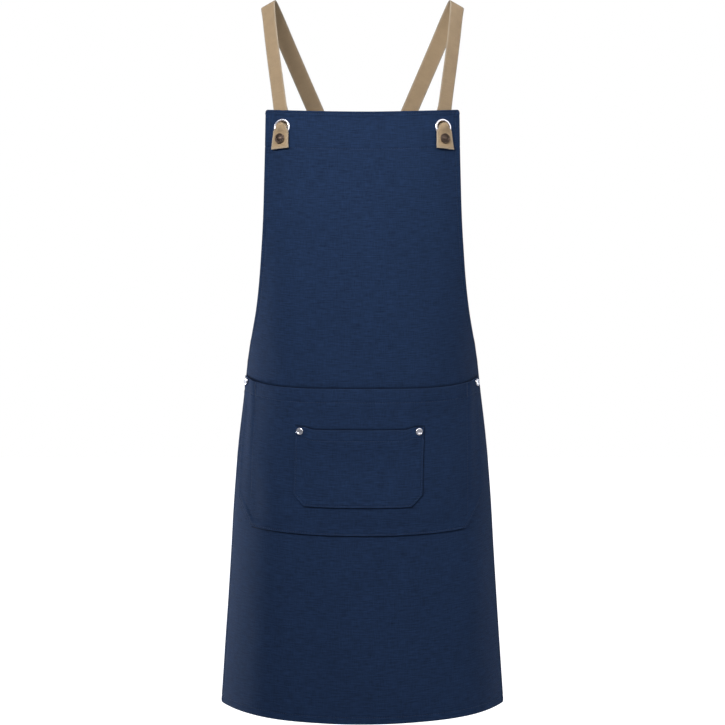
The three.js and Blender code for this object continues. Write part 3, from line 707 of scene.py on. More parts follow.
def eyelet_profile():
    base = LAYER_GAP
    back_face = FACING_BACK - EYELET_BACK_HEIGHT
    width = EYELET_FLANGE_RADIUS - EYELET_HOLE_RADIUS
    middle = EYELET_HOLE_RADIUS + width * 0.52
    roll = arc_points((middle, base + 0.25), (width * 0.48, EYELET_HEIGHT - 0.25), 0, 90)
    fall = arc_points((middle, base), (middle - EYELET_HOLE_RADIUS, EYELET_HEIGHT), 90, 180)
    return [
        (EYELET_HOLE_RADIUS, back_face + 0.4),
        (EYELET_HOLE_RADIUS + 0.35, back_face),
        (EYELET_FLANGE_RADIUS - 0.7, back_face),
        (EYELET_FLANGE_RADIUS - 0.15, back_face + 0.35),
        (EYELET_FLANGE_RADIUS, FACING_BACK),
        (EYELET_HOLE_RADIUS + EYELET_BARREL, FACING_BACK),
        (EYELET_HOLE_RADIUS + EYELET_BARREL, base),
        (EYELET_FLANGE_RADIUS - 0.1, base),
        *roll,
        *fall[1:],
        (EYELET_HOLE_RADIUS, back_face + 0.4),
    ]


def snap_stud_profile():
    socket = SNAP_POST_RADIUS + LAYER_GAP
    bore = socket + SNAP_SOCKET_WALL
    plate = FACING_BACK - SNAP_STUD_HEIGHT
    return [
        (0, plate + 0.25),
        (SNAP_STUD_RADIUS * 0.55, plate + 0.2),
        (SNAP_STUD_RADIUS * 0.7, plate),
        (SNAP_STUD_RADIUS * 0.92, plate + 0.2),
        (SNAP_STUD_RADIUS, FACING_BACK),
        (bore, FACING_BACK),
        (bore, LAYER_GAP),
        (SNAP_STUD_RADIUS, LAYER_GAP),
        (SNAP_STUD_RADIUS * 0.98, SNAP_STUD_TOP - 0.3),
        (SNAP_STUD_RADIUS * 0.86, SNAP_STUD_TOP),
        (socket + 0.15, SNAP_STUD_TOP),
        (socket, SNAP_STUD_TOP - 0.2),
        (socket, FACING_BACK + 0.4),
        (0, FACING_BACK + 0.4),
    ]


def snap_cap_profile():
    base = TAB_HEIGHT + STRAP_THICKNESS / 2 + 1.5 * LAYER_GAP
    rim_radius = 0.9
    rim = arc_points((SNAP_CAP_RADIUS - rim_radius, base + 1.0), (rim_radius, rim_radius), 0, 150, 10)
    ring = arc_points((SNAP_CAP_RADIUS * 0.66, base + 1.25), (0.55, 0.5), 0, 180, 8)
    dome = arc_points((0, base + 1.3), (SNAP_CAP_RADIUS * 0.5, SNAP_CAP_HEIGHT - 1.35), 0, 90)
    return [
        (0, 0),
        (SNAP_POST_RADIUS * 0.9, 0),
        (SNAP_POST_RADIUS, 0.3),
        (SNAP_POST_RADIUS, base),
        (SNAP_CAP_RADIUS - 0.5, base),
        (SNAP_CAP_RADIUS - 0.1, base + 0.3),
        *rim,
        *ring,
        *dome[:-1],
        (0, base + SNAP_CAP_HEIGHT - 0.05),
    ]


def rivet_place(face_at, back_at, pocket, side):
    """Where a rivet sits in a pocket's mouth, and the thickness of cloth that it grips."""
    drop = np.float64(pocket.mouth + RIVET_DROP)
    across = pocket_centre(drop) + side * (pocket.half - RIVET_INSET)
    grip = face_at(across, drop) - back_at(across + side * RIVET_WASHER_RADIUS, drop)
    return layer_frame(face_at, across, drop), grip


# Stitching


def stitch_bodies(points, along, outward, length=STITCH_LENGTH, arch=STITCH_ARCH):
    """Short arched lengths of thread, centred on the points and running along the cloth."""
    shares = np.linspace(-1, 1, STITCH_RINGS)
    beside = np.cross(outward, along)
    turns = np.linspace(0, 2 * np.pi, THREAD_SIDES, endpoint=False)
    thickness = THREAD_RADIUS * np.sqrt(1 - (THREAD_TAPER * shares) ** 2)
    middle = (
        points[:, None]
        + along[:, None] * (shares * length / 2)[:, None]
        + outward[:, None] * (arch * (1 - shares**2) - THREAD_SINK)[:, None]
    )
    ring = np.cos(turns)[:, None] * beside[:, None, None] + np.sin(turns)[:, None] * outward[:, None, None]
    skin = middle[:, :, None] + ring * thickness[:, None, None]
    block = np.arange(STITCH_RINGS * THREAD_SIDES).reshape(STITCH_RINGS, THREAD_SIDES)
    quads = grid_faces(np.concatenate([block, block[:, :1]], axis=1))[:, ::-1]
    ends = [block[0].tolist(), block[-1, ::-1].tolist()]
    offsets = np.arange(len(points)) * block.size
    faces = (quads[None] + offsets[:, None, None]).reshape(-1, 4).tolist()
    faces += [[corner + offset for corner in end] for offset in offsets for end in ends]
    return skin.reshape(-1, 3), faces


def seam_stitches(route, height_at, facing=1, pitch=STITCH_PITCH, **size):
    """Stitches along a route of (across, drop) points, on the cloth's front or, facing -1, behind it."""
    route = np.array(route, float)
    lengths = np.concatenate([[0], np.cumsum(np.linalg.norm(np.diff(route, axis=0), axis=1))])
    count = max(int(lengths[-1] / pitch), 1)
    at = (np.arange(count) + 0.5) * lengths[-1] / count
    centre, ahead, behind = (
        np.stack([np.interp(at + step, lengths, column) for column in route.T], -1)
        for step in (0, 0.2, -0.2)
    )
    way = unit(ahead - behind)
    base = frame_on(cloth_point, centre[:, 0], centre[:, 1])
    points = raised_point(base, height_at(centre[:, 0], centre[:, 1]))
    along = unit(base["right"] * way[:, :1] + base["down"] * way[:, 1:])
    return stitch_bodies(points, along, base["outward"] * facing, **size)


def make_stitching(name, rows, material, **size):
    """One piece of thread from rows of stitches, each with its route, its cloth's face and its way."""
    points = []
    faces = []
    count = 0
    for row in rows:
        vertices, polygons = seam_stitches(*row, **size)
        points.append(vertices)
        faces += [[corner + count for corner in polygon] for polygon in polygons]
        count += len(vertices)
    return make_piece(name, np.concatenate(points), faces, material)


ROUTE_POINTS = 60
LEG_STEPS = 19


def level_route(drop, inset):
    reach = half_width_at(drop) - inset
    return [(-reach, drop), (reach, drop)]


def side_route(side):
    drops = np.linspace(TOP_STITCH + SIDE_ROW_GAP, APRON_LENGTH - BOTTOM_STITCH, ROUTE_POINTS)
    return np.stack([side * (half_width_at(drops) - SIDE_STITCH), drops], -1)


def pocket_edge_route(pocket):
    """Down one side of a pocket, round its two cut corners and up the other side."""
    cut_inset = pocket.chamfer + EDGE_STITCH * (np.sqrt(2) - 1)
    reach = pocket.half - EDGE_STITCH
    corner = pocket.half - cut_inset - EDGE_STITCH * (2 - np.sqrt(2)) / 2
    side = [
        (-reach, pocket.mouth + ROW_GAP),
        (-reach, pocket.bottom - cut_inset),
        (-corner, pocket.bottom - EDGE_STITCH),
    ]
    route = np.array(side + [(-x, y) for x, y in reversed(side)])
    legs = len(route) - 1
    at = np.linspace(0, legs, LEG_STEPS * legs + 1)
    across, drop = (np.interp(at, np.arange(legs + 1), column) for column in route.T)
    return np.stack([across + pocket_centre(drop), drop], -1)


def pocket_hem_route(pocket):
    drop = pocket.mouth + pocket.hem - HEM_STITCH_INSET
    reach = pocket.half - EDGE_STITCH - ROW_GAP
    across = pocket_centre(drop) + np.linspace(-reach, reach, ROUTE_POINTS)
    return np.stack([across, np.full(len(across), float(drop))], -1)


def divider_route(offset):
    drops = np.linspace(WIDE.mouth + ROW_GAP, WIDE.bottom - EDGE_STITCH, ROUTE_POINTS)
    return np.stack([offset + pocket_centre(drops), drops], -1)


DIVIDER_ROWS = [side * (DIVIDER_AT + way * DIVIDER_ROW_OFFSET) for side in (-1, 1) for way in (-1, 1)]


def make_hem_stitching(material):
    routes = [
        level_route(TOP_STITCH, TOP_STITCH),
        level_route(FACING_STITCH, SIDE_STITCH + ROW_GAP),
        level_route(APRON_LENGTH - BOTTOM_STITCH, BOTTOM_STITCH - ROW_GAP),
        side_route(-1),
        side_route(1),
    ]
    rows = [(route, panel_outer) for route in routes] + [(route, panel_inner, -1) for route in routes]
    return make_stitching("hem_stitching", rows, material)


def make_wide_stitching(material):
    sewn = [pocket_edge_route(WIDE), *(divider_route(offset) for offset in DIVIDER_ROWS)]
    hem = pocket_hem_route(WIDE)
    rows = [(route, wide_outer) for route in [*sewn, hem]]
    rows += [(route, panel_inner, -1) for route in sewn] + [(hem, wide_inner, -1)]
    return make_stitching("wide_pocket_stitching", rows, material)


def make_patch_stitching(material):
    edge = pocket_edge_route(PATCH)
    hem = pocket_hem_route(PATCH)
    sag = patch_sag(pocket_centre(hem[0, 1]), hem[0, 1])
    hem[:, 1] += patch_sag(hem[:, 0], hem[:, 1])
    rows = [
        (edge, patch_outer),
        (edge, wide_inner, -1),
        (hem, lambda across, drop: patch_outer(across, drop - sag)),
        (hem, lambda across, drop: patch_inner(across, drop - sag), -1),
    ]
    return make_stitching("small_pocket_stitching", rows, material)


def make_bar_tacks(material):
    """Dense cross stitches that hold the wide pocket's mouth at its dividers."""
    rows = []
    for side in SIDES.values():
        drops = np.arange(WIDE.mouth + TACK_MARGIN, WIDE.mouth + WIDE.hem - TACK_MARGIN, TACK_PITCH)
        for index, drop in enumerate(drops):
            across = pocket_centre(drop) + side * (DIVIDER_AT + DIVIDER_ROW_OFFSET)
            slant = TACK_SLANT if index % 2 else -TACK_SLANT
            ends = [(across + way * TACK_WIDTH / 2, drop + way * slant) for way in (-1, 1)]
            rows.append((ends, wide_outer))
    return make_stitching("bar_tacks", rows, material, pitch=TACK_WIDTH, length=TACK_WIDTH, arch=TACK_ARCH)


# Straps

BEHIND_EYELET = FACING_BACK - LAYER_GAP - EYELET_BACK_HEIGHT - STRAP_THICKNESS / 2
IN_HOLE = -0.7 * EYELET_HOLE_RADIUS

# The strap near its eyelet, where it is rolled into a half tube to pass through the hole. down: from the
# eyelet's centre, along the cloth. out: height of the strap's middle. lay: how far its face is turned
# upward, in degrees. curl: how far it is rolled across its width, in degrees, with minus where its edges
# are turned back. squeeze: its width there as a share.
TAB_COLUMNS = ("down", "out", "lay", "curl", "squeeze")
TAB_ROUTE = [
    (TAB_LENGTH, TAB_HEIGHT - 0.3, 0, 6, 1),
    ((TAB_LENGTH + SNAP_BELOW_EYELET) / 2, TAB_HEIGHT, 0, 3, 1),
    (SNAP_BELOW_EYELET, TAB_HEIGHT, 0, 0, 1),
    (11, TAB_HEIGHT, 0, -10, 1),
    (6.8, TAB_HEIGHT + 1.3, 0, -34, 0.98),
    (3, TAB_HEIGHT + 3.8, 8, -100, 0.8),
    (-1.2, TAB_HEIGHT + 4.5, 24, -124, 0.8),
    (-4.8, TAB_HEIGHT + 3.2, 52, -140, 0.81),
    (IN_HOLE + 0.2, 3.4, 76, -160, 0.84),
    (IN_HOLE, 0.4, 88, -168, 0.83),
    (IN_HOLE, -3, 88, -168, 0.83),
    (IN_HOLE - 0.7, BEHIND_EYELET - 1, 66, -140, 0.86),
    (IN_HOLE - 3, BEHIND_EYELET - 2.4, 36, -90, 0.92),
    (-14, BEHIND_EYELET - 1.8, 10, -40, 0.97),
    (-EYELET_DROP * 0.8, BEHIND_EYELET, 0, -6, 1),
]

# The strap over the shoulder and across the back. sideways, back and drop: shares of half the shoulder
# span, of BACK_REACH and of CROSSING_DROP. facing and tilt: the webbing's outward direction, in degrees
# round from the front and up.
BACK_COLUMNS = ("sideways", "back", "drop", "facing", "tilt")
BACK_ROUTE = [
    (0.85, -0.751, 0.533, 36, 5),
    (0.878, -0.67, 0.44, 38, 6),
    (0.922, -0.56, 0.3, 40, 12),
    (0.96, -0.41, 0.17, 43, 20),
    (0.987, -0.24, 0.065, 48, 34),
    (1, -0.09, 0.012, 60, 54),
    (0.99, 0.05, 0.006, 100, 64),
    (0.93, 0.17, 0.06, 140, 52),
    (0.794, 0.32, 0.2, 160, 30),
    (0.518, 0.6, 0.48, 168, 18),
    (0.26, 0.83, 0.74, 178, 11),
    (0, 0.97, 1.0, 180, 5),
    (-0.32, 0.98, 1.23, 189, 0),
    (-0.71, 0.85, 1.39, 212, 0),
    (-1.05, 0.55, 1.5, 238, 0),
    (-1.165, 0.19, 1.6, 268, 0),
]
STRAP_COLUMNS = np.concatenate([[0, 0.02, 0.07], np.linspace(0.14, 0.86, 19), [0.93, 0.98, 1]]) * 2 - 1
SELVEDGE_ROUNDNESS = 14
CUT_END_ROUNDING = 0.7
PALE_BORDER_FROM = 9.4
PALE_BORDER_FADE = 3.1
PALE_END_FADE = 2.4
LEAST_CURL = 2e-3


def tab_point(eyelet, below, height):
    """A point that far below an eyelet's centre along its leaning strap, and that high above the cloth."""
    down = np.asarray(below, float)[..., None]
    lean = np.radians(np.where(down > 0, TAB_LEAN, np.where(down < 2 * IN_HOLE, STRAP_LEAN, HOLE_LEAN)))
    return (
        eyelet["point"]
        + eyelet["down"] * down * np.cos(lean)
        + eyelet["right"] * eyelet["side"] * down * np.sin(lean)
        + eyelet["outward"] * np.asarray(height, float)[..., None]
    )


def snap_place(eyelet):
    return {**eyelet, "point": tab_point(eyelet, SNAP_BELOW_EYELET, 0)}


def strap_stations(eyelet):
    """The strap's route from its tab's end to its seam at the far side's waist."""
    side = eyelet["side"]
    tab = dict(zip(TAB_COLUMNS, np.array(TAB_ROUTE, float).T))
    lay = np.radians(tab["lay"])[:, None]
    body = dict(zip(BACK_COLUMNS, np.array(BACK_ROUTE, float).T))
    near_crossing = np.where(body["back"] > 0, np.exp(-((body["sideways"] / CROSSING_SPREAD) ** 2)), 0)
    over = side * (STRAP_THICKNESS + CROSSING_GAP) / 2 * near_crossing
    body_axes = [
        side * body["sideways"] * SHOULDER_SPAN / 2,
        body["back"] * BACK_REACH + over,
        STRAP_THICKNESS / 2 - body["drop"] * CROSSING_DROP,
    ]
    facing, tilt = np.radians(body["facing"]), np.radians(body["tilt"])
    body_normals = [side * np.sin(facing) * np.cos(tilt), -np.cos(facing) * np.cos(tilt), np.sin(tilt)]
    seam_along = np.array(SEAM_STATIONS) * SEAM_LENGTH
    slope = np.radians(SEAM_ANGLE)
    seam_across = -side * (half_width_at(np.float64(SEAM_DROP)) + seam_along * np.cos(slope))
    seam = frame_on(cloth_point, seam_across, SEAM_DROP - seam_along * np.sin(slope))
    seam_point = seam["point"] + seam["outward"] * (FACING_BACK - LAYER_GAP - STRAP_THICKNESS / 2)
    tab_normals = eyelet["outward"] * np.cos(lay) - eyelet["down"] * np.sin(lay)
    tab_points = tab_point(eyelet, tab["down"], tab["out"])
    plain = np.zeros(len(BACK_ROUTE) + len(SEAM_STATIONS))
    return {
        "point": np.concatenate([tab_points, np.stack(body_axes, -1), seam_point]),
        "normal": np.concatenate([tab_normals, np.stack(body_normals, -1), seam["outward"]]),
        "curl": np.concatenate([tab["curl"], plain]),
        "squeeze": np.concatenate([tab["squeeze"], plain + 1]),
    }


def smooth_route(points, place):
    """A centripetal Catmull-Rom curve through the points. place counts the points passed."""
    padded = np.array([2 * points[0] - points[1], *points, 2 * points[-1] - points[-2]])
    index = np.clip(np.floor(place).astype(int), 0, len(points) - 2)
    share = (place - index)[:, None]
    before, start, end, after = (padded[index + step] for step in range(4))
    pairs = ((before, start), (start, end), (end, after))
    first, middle, last = (np.linalg.norm(b - a, axis=1, keepdims=True) ** 0.5 for a, b in pairs)
    leave = (start - before) / first - (end - before) / (first + middle) + (end - start) / middle
    arrive = (end - start) / middle - (after - start) / (middle + last) + (after - end) / last
    leave, arrive = leave * middle, arrive * middle
    bend = -3 * start + 3 * end - 2 * leave - arrive
    turn = 2 * start - 2 * end + leave + arrive
    return start + leave * share + bend * share**2 + turn * share**3


def strap_places(stations):
    """Places along the strap at an even spacing, their distances from its tab's end, and its length."""
    fine = np.linspace(0, len(stations["point"]) - 1, STRAP_SAMPLES)
    path = smooth_route(stations["point"], fine)
    lengths = np.concatenate([[0], np.cumsum(np.linalg.norm(np.diff(path, axis=0), axis=1))])
    near_end = np.array(STRAP_END_STEPS)
    even = np.arange(STRAP_EVEN_FROM, lengths[-1] - STRAP_EVEN_FROM, STRAP_ROW_SPACING)
    at = np.concatenate([near_end, even, lengths[-1] - near_end[::-1]])
    return np.interp(at, lengths, fine), at, lengths[-1]


def tab_flare(side, at, outer):
    """The webbing at its cut end: how far it spreads outwards, lifts and runs on, the right one more."""
    near_end = 1 - smooth_step(at / TAB_FLARE_LENGTH)
    spread = TAB_FLARE[side] * near_end * np.maximum(outer, 0)
    spread = spread + TAB_SPREAD * (1 - smooth_step(at / TAB_SPREAD_LENGTH)) * np.minimum(outer, 0)
    wave = TAB_WAVE[side] * near_end * np.sin(TAB_WAVE_START - TAB_WAVE_TURN * outer)
    return spread, wave, TAB_SLANT * near_end * outer


def make_strap(name, eyelet, material):
    stations = strap_stations(eyelet)
    place, at, length = strap_places(stations)
    step = 1e-3
    last = len(stations["point"]) - 1
    ahead = smooth_route(stations["point"], np.minimum(place + step, last))
    behind = smooth_route(stations["point"], np.maximum(place - step, 0))
    backwards = unit(behind - ahead)
    numbers = np.arange(last + 1)
    normal = unit(np.stack([np.interp(place, numbers, axis) for axis in stations["normal"].T], -1))
    curl = np.radians(np.interp(place, numbers, stations["curl"]))[:, None]
    curl = np.where(np.abs(curl) < LEAST_CURL, LEAST_CURL, curl)
    width = STRAP_WIDTH * np.interp(place, numbers, stations["squeeze"])[:, None]
    across = unit(np.cross(backwards, normal))
    upright = unit(np.cross(across, backwards))
    column = STRAP_COLUMNS[None, :]
    turned = curl * column / 2
    radius = width / curl
    spread, wave, onward = tab_flare(eyelet["side"], at[:, None], -column * eyelet["side"])
    sideways = radius * np.sin(turned) - spread * eyelet["side"]
    lift = radius * (1 - np.cos(turned)) + wave
    middle = (
        smooth_route(stations["point"], place)[:, None]
        + across[:, None] * sideways[..., None]
        + upright[:, None] * lift[..., None]
        + backwards[:, None] * onward[..., None]
    )
    face_normal = upright[:, None] * np.cos(turned)[..., None] - across[:, None] * np.sin(turned)[..., None]
    selvedge = np.sqrt(np.maximum(1 - np.abs(column) ** SELVEDGE_ROUNDNESS, 0))
    from_end = np.minimum(at, length - at)[:, None]
    cut_end = np.sqrt(1 - (1 - np.clip(from_end / CUT_END_ROUNDING, 0, 1)) ** 2)
    half = (STRAP_THICKNESS / 2 * selvedge * cut_end)[..., None]
    flat = np.stack(np.broadcast_arrays(column * STRAP_WIDTH / 2, at[:, None]), -1)
    outer = np.concatenate([middle + face_normal * half, flat], -1)
    inner = np.concatenate([middle - face_normal * half, flat], -1)
    points, faces = closed_skin(outer, inner)
    border = np.maximum(np.abs(points[:, 3]) - PALE_BORDER_FROM, 0) / PALE_BORDER_FADE
    wear = np.clip(np.maximum(border, 1 - points[:, 4] / PALE_END_FADE), 0, 1)
    piece = make_piece(f"{name}_webbing", points[:, :3], faces, material, points[:, 3:], wear)
    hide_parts(name)
    bore_holes(piece, [snap_place(eyelet)], SNAP_POST_RADIUS + LAYER_GAP)


# Shader nodes


def wire(tree, value, socket):
    if isinstance(value, bpy.types.NodeSocket):
        tree.links.new(value, socket)
    else:
        socket.default_value = value


def wired(tree, kind, values, **settings):
    """A new node with its settings and with its first inputs wired or set."""
    node = tree.nodes.new(kind)
    for name, value in settings.items():
        setattr(node, name, value)
    for value, socket in zip(values, node.inputs):
        wire(tree, value, socket)
    return node


def maths(tree, operation, *values):
    return wired(tree, "ShaderNodeMath", values, operation=operation).outputs[0]


def times(tree, first, second):
    return maths(tree, "MULTIPLY", first, second)


def plus(tree, first, second):
    return maths(tree, "ADD", first, second)


def minus(tree, first, second):
    return maths(tree, "SUBTRACT", first, second)


def ranged(tree, value, low, high, to_low, to_high):
    return wired(tree, "ShaderNodeMapRange", (value, low, high, to_low, to_high)).outputs[0]


def stretched(tree, vector, scale):
    return wired(tree, "ShaderNodeVectorMath", (vector, scale), operation="MULTIPLY").outputs[0]


def parts_of(tree, vector):
    return wired(tree, "ShaderNodeSeparateXYZ", (vector,)).outputs


def mixed(tree, share, first, second, how="MIX"):
    node = tree.nodes.new("ShaderNodeMix")
    node.data_type = "RGBA"
    node.blend_type = how
    wire(tree, share, node.inputs["Factor"])
    wire(tree, first, node.inputs[6])
    wire(tree, second, node.inputs[7])
    return node.outputs[2]


def noise(tree, vector, scale, detail=2.0, roughness=0.5):
    node = tree.nodes.new("ShaderNodeTexNoise")
    for name, value in {"Vector": vector, "Scale": scale, "Detail": detail, "Roughness": roughness}.items():
        wire(tree, value, node.inputs[name])
    return node.outputs["Fac"]


def new_group(name, numbers, outputs):
    """An effect that several materials use, from a place and numbers to values over a surface."""
    group = bpy.data.node_groups.new(name, "ShaderNodeTree")
    group.interface.new_socket(name="Place", in_out="INPUT", socket_type="NodeSocketVector")
    for label, value in numbers.items():
        socket = group.interface.new_socket(name=label, in_out="INPUT", socket_type="NodeSocketFloat")
        socket.default_value = value
    for label in outputs:
        group.interface.new_socket(name=label, in_out="OUTPUT", socket_type="NodeSocketFloat")
    return group, group.nodes.new("NodeGroupInput").outputs, group.nodes.new("NodeGroupOutput").inputs


def placed(tree, group, **values):
    node = tree.nodes.new("ShaderNodeGroup")
    node.node_tree = group
    for name, value in values.items():
        wire(tree, value, node.inputs[name])
    return node.outputs


def weave_group():
    """Over-and-under threads on flat cloth coordinates in metres."""
    group, start, end = new_group(
        "Over and under weave", {"Across": 0.0007, "Along": 0.0007}, ["Height", "Thread"]
    )
    flat = parts_of(group, start["Place"])
    wobble = times(group, noise(group, start["Place"], 260.0, 1.0), 0.9)
    across = plus(group, maths(group, "DIVIDE", flat["X"], start["Across"]), wobble)
    along = plus(group, maths(group, "DIVIDE", flat["Y"], start["Along"]), wobble)
    warp, weft = (maths(group, "SINE", times(group, threads, np.pi)) for threads in (across, along))
    crossing = times(group, warp, weft)
    over = maths(group, "ABSOLUTE", crossing)
    side = times(group, maths(group, "SIGN", crossing), 0.12)
    wire(group, plus(group, maths(group, "POWER", over, 0.6), side), end["Height"])
    wire(group, maths(group, "POWER", over, 0.5), end["Thread"])
    return group


def shade_of(group, value, strength):
    """A grey factor about 1 from a value about a half."""
    centred = times(group, minus(group, value, 0.5), 2.0)
    return plus(group, 1.0, times(group, centred, strength))


def slub_group():
    """Thicker and thinner yarns, as long thin streaks across and down the cloth."""
    group, start, end = new_group("Slub yarns", {"Strength": 0.1, "Size": 1.0}, ["Shade", "Height"])
    weft = noise(group, stretched(group, start["Place"], (60.0, 620.0, 1.0)), start["Size"], 3.0, 0.6)
    warp = noise(group, stretched(group, start["Place"], (680.0, 70.0, 1.0)), start["Size"], 2.0, 0.6)
    both = plus(group, times(group, weft, 0.68), times(group, warp, 0.32))
    wire(group, shade_of(group, both, start["Strength"]), end["Shade"])
    wire(group, both, end["Height"])
    return group


def mottle_group():
    """Uneven dye or patina, as soft patches."""
    group, start, end = new_group("Uneven tone", {"Scale": 20.0, "Strength": 0.1}, ["Shade"])
    patches = noise(group, start["Place"], start["Scale"], 4.0, 0.55)
    wire(group, shade_of(group, patches, start["Strength"]), end["Shade"])
    return group


def seam_shadow_group():
    """Painted shade just outside a sewn-on pocket's edges, wider above its mouth, on flat cloth coordinates
    in metres.
    """
    names = ["Middle", "Slope", "Half", "Mouth", "Bottom", "Chamfer", "Sag", "Reach"]
    group, start, end = new_group("Painted seam shade", dict.fromkeys(names, 0.01), ["Mask"])
    flat = parts_of(group, start["Place"])
    leaning = times(group, start["Slope"], minus(group, flat["Y"], start["Mouth"]))
    from_middle = minus(group, minus(group, flat["X"], start["Middle"]), leaning)
    beside = minus(group, maths(group, "ABSOLUTE", from_middle), start["Half"])
    below = minus(group, flat["Y"], start["Bottom"])
    corner = plus(group, plus(group, beside, below), start["Chamfer"])
    hanging = times(group, ranged(group, beside, -0.029, -0.013, 1.0, 0.0), start["Sag"])
    above = minus(group, plus(group, start["Mouth"], hanging), flat["Y"])
    outside = maths(group, "MAXIMUM", beside, below)
    outside = maths(group, "MAXIMUM", outside, times(group, corner, 0.7071))
    outside = maths(group, "MAXIMUM", outside, times(group, above, 0.6))
    # The mask is 1 at the pocket's edge and fades out over Reach: painted shade standing in for the shadow
    # lines along the edges.
    fading = ranged(group, outside, 0.0, start["Reach"], 1.0, 0.0)
    covered = ranged(group, outside, -0.0014, -0.0006, 0.0, 1.0)
    wire(group, times(group, fading, covered), end["Mask"])
    return group


def scuff_group():
    """Fine handling marks on metal."""
    group, start, end = new_group("Handling marks", {"Strength": 0.1}, ["Mask", "Height"])
    lines = noise(group, stretched(group, start["Place"], (900.0, 90.0, 900.0)), 3.0, 4.0, 0.7)
    dents = noise(group, start["Place"], 420.0, 3.0, 0.6)
    sharp = ranged(group, lines, 0.5, 0.72, 0.0, 1.0)
    wire(group, times(group, plus(group, sharp, dents), start["Strength"]), end["Mask"])
    wire(group, plus(group, dents, times(group, sharp, 0.3)), end["Height"])
    return group


WEAVE = weave_group()
SLUBS = slub_group()
MOTTLE = mottle_group()
SCUFFS = scuff_group()
SEAM_SHADOW = seam_shadow_group()


def new_material(name):
    material = bpy.data.materials.new(name)
    material.use_nodes = True
    return material, material.node_tree


def finish_surface(tree, inputs):
    """Wires or sets the shader's own sockets."""
    for name, value in inputs.items():
        wire(tree, value, tree.nodes["Principled BSDF"].inputs[name])


def flat_place(tree):
    node = tree.nodes.new("ShaderNodeUVMap")
    node.uv_map = "flat cloth"
    return node.outputs[0]


def object_place(tree):
    return tree.nodes.new("ShaderNodeTexCoord").outputs["Object"]


def rubbed_share(tree):
    node = tree.nodes.new("ShaderNodeAttribute")
    node.attribute_name = "rubbed"
    return node.outputs["Fac"]


def shaded(tree, colour, *shades):
    """A colour darkened or lightened by grey factors."""
    for shade in shades:
        grey = wired(tree, "ShaderNodeCombineColor", (shade, shade, shade))
        colour = mixed(tree, 1.0, colour, grey.outputs[0], "MULTIPLY")
    return colour


def raised(tree, height, distance, strength=1.0):
    bump = tree.nodes.new("ShaderNodeBump")
    for name, value in {"Strength": strength, "Distance": distance, "Height": height}.items():
        wire(tree, value, bump.inputs[name])
    return bump.outputs[0]


def woven(tree, dye, threads, slubs, patches, gaps):
    """Flat place, colour and reliefs of dyed yarns. threads: their widths across and along, in metres.

    slubs: their strength and size. patches: their scale and strength. gaps: how dark the cloth is between
    the threads, and how bright on them.
    """
    flat = flat_place(tree)
    weave = placed(tree, WEAVE, Place=flat, Across=threads[0], Along=threads[1])
    yarns = placed(tree, SLUBS, Place=flat, Strength=slubs[0], Size=slubs[1])
    tone = placed(tree, MOTTLE, Place=object_place(tree), Scale=patches[0], Strength=patches[1])
    between = ranged(tree, weave["Thread"], 0.0, 1.0, *gaps)
    colour = shaded(tree, dye, yarns["Shade"], tone["Shade"], between)
    return flat, colour, weave["Height"], yarns["Height"]


def navy_canvas(name, painted_seam_shade=None):
    """Dense cotton canvas with faint slubs, and painted shade round the pocket that is sewn on it, if there
    is one.
    """
    material, tree = new_material(name)
    navy = (0.0117, 0.0260, 0.0655, 1)
    flat, dyed, weave, slubs = woven(
        tree, navy, threads=(0.00072, 0.00062), slubs=(1.1, 1.0), patches=(16.0, 0.1), gaps=(0.72, 1.12)
    )
    if painted_seam_shade:
        # Painted shade: just outside the sewn-on pocket, the canvas darkens to 0.34 of its colour, for the
        # shadow lines along its edges.
        seam = placed(tree, SEAM_SHADOW, Place=flat, **painted_seam_shade)
        dyed = shaded(tree, dyed, ranged(tree, seam["Mask"], 0.0, 1.0, 1.0, 0.34))
    relief = plus(tree, weave, times(tree, slubs, 1.2))
    surface = {
        "Base Color": mixed(tree, times(tree, rubbed_share(tree), 0.1), dyed, (0.05, 0.075, 0.14, 1)),
        "Roughness": ranged(tree, slubs, 0.3, 0.7, 0.78, 0.92),
        "Specular IOR Level": 0.07,
        "Sheen Weight": 0.028,
        "Sheen Roughness": 0.35,
        "Sheen Tint": (0.62, 0.66, 0.95, 1),
        "Normal": raised(tree, relief, distance=0.00016, strength=0.8),
    }
    finish_surface(tree, surface)
    return material


def tan_webbing():
    """Flat-woven cotton webbing with ribs, paler along its selvedges and its cut end."""
    material, tree = new_material("tan webbing")
    tan = (0.365, 0.262, 0.158, 1)
    dyed, weave, slubs = woven(
        tree, tan, threads=(0.00078, 0.0006), slubs=(0.22, 0.7), patches=(60.0, 0.12), gaps=(0.78, 1.08)
    )[1:]
    surface = {
        "Base Color": mixed(tree, times(tree, rubbed_share(tree), 0.55), dyed, (0.4, 0.36, 0.3, 1)),
        "Roughness": ranged(tree, slubs, 0.3, 0.7, 0.8, 0.95),
        "Specular IOR Level": 0.25,
        "Sheen Weight": 0.08,
        "Sheen Roughness": 0.4,
        "Normal": raised(tree, weave, distance=0.00022),
    }
    finish_surface(tree, surface)
    return material


def sewing_thread():
    """Twisted navy thread, close to the canvas in colour."""
    material, tree = new_material("navy thread")
    place = object_place(tree)
    fine = placed(tree, MOTTLE, Place=place, Scale=900.0, Strength=0.3)["Shade"]
    slow = placed(tree, MOTTLE, Place=place, Scale=30.0, Strength=0.15)["Shade"]
    surface = {
        "Base Color": shaded(tree, (0.012, 0.023, 0.058, 1), fine, slow),
        "Specular IOR Level": 0.3,
        "Roughness": ranged(tree, fine, 0.8, 1.2, 0.5, 0.7),
        "Normal": raised(tree, fine, distance=0.00005),
    }
    finish_surface(tree, surface)
    return material


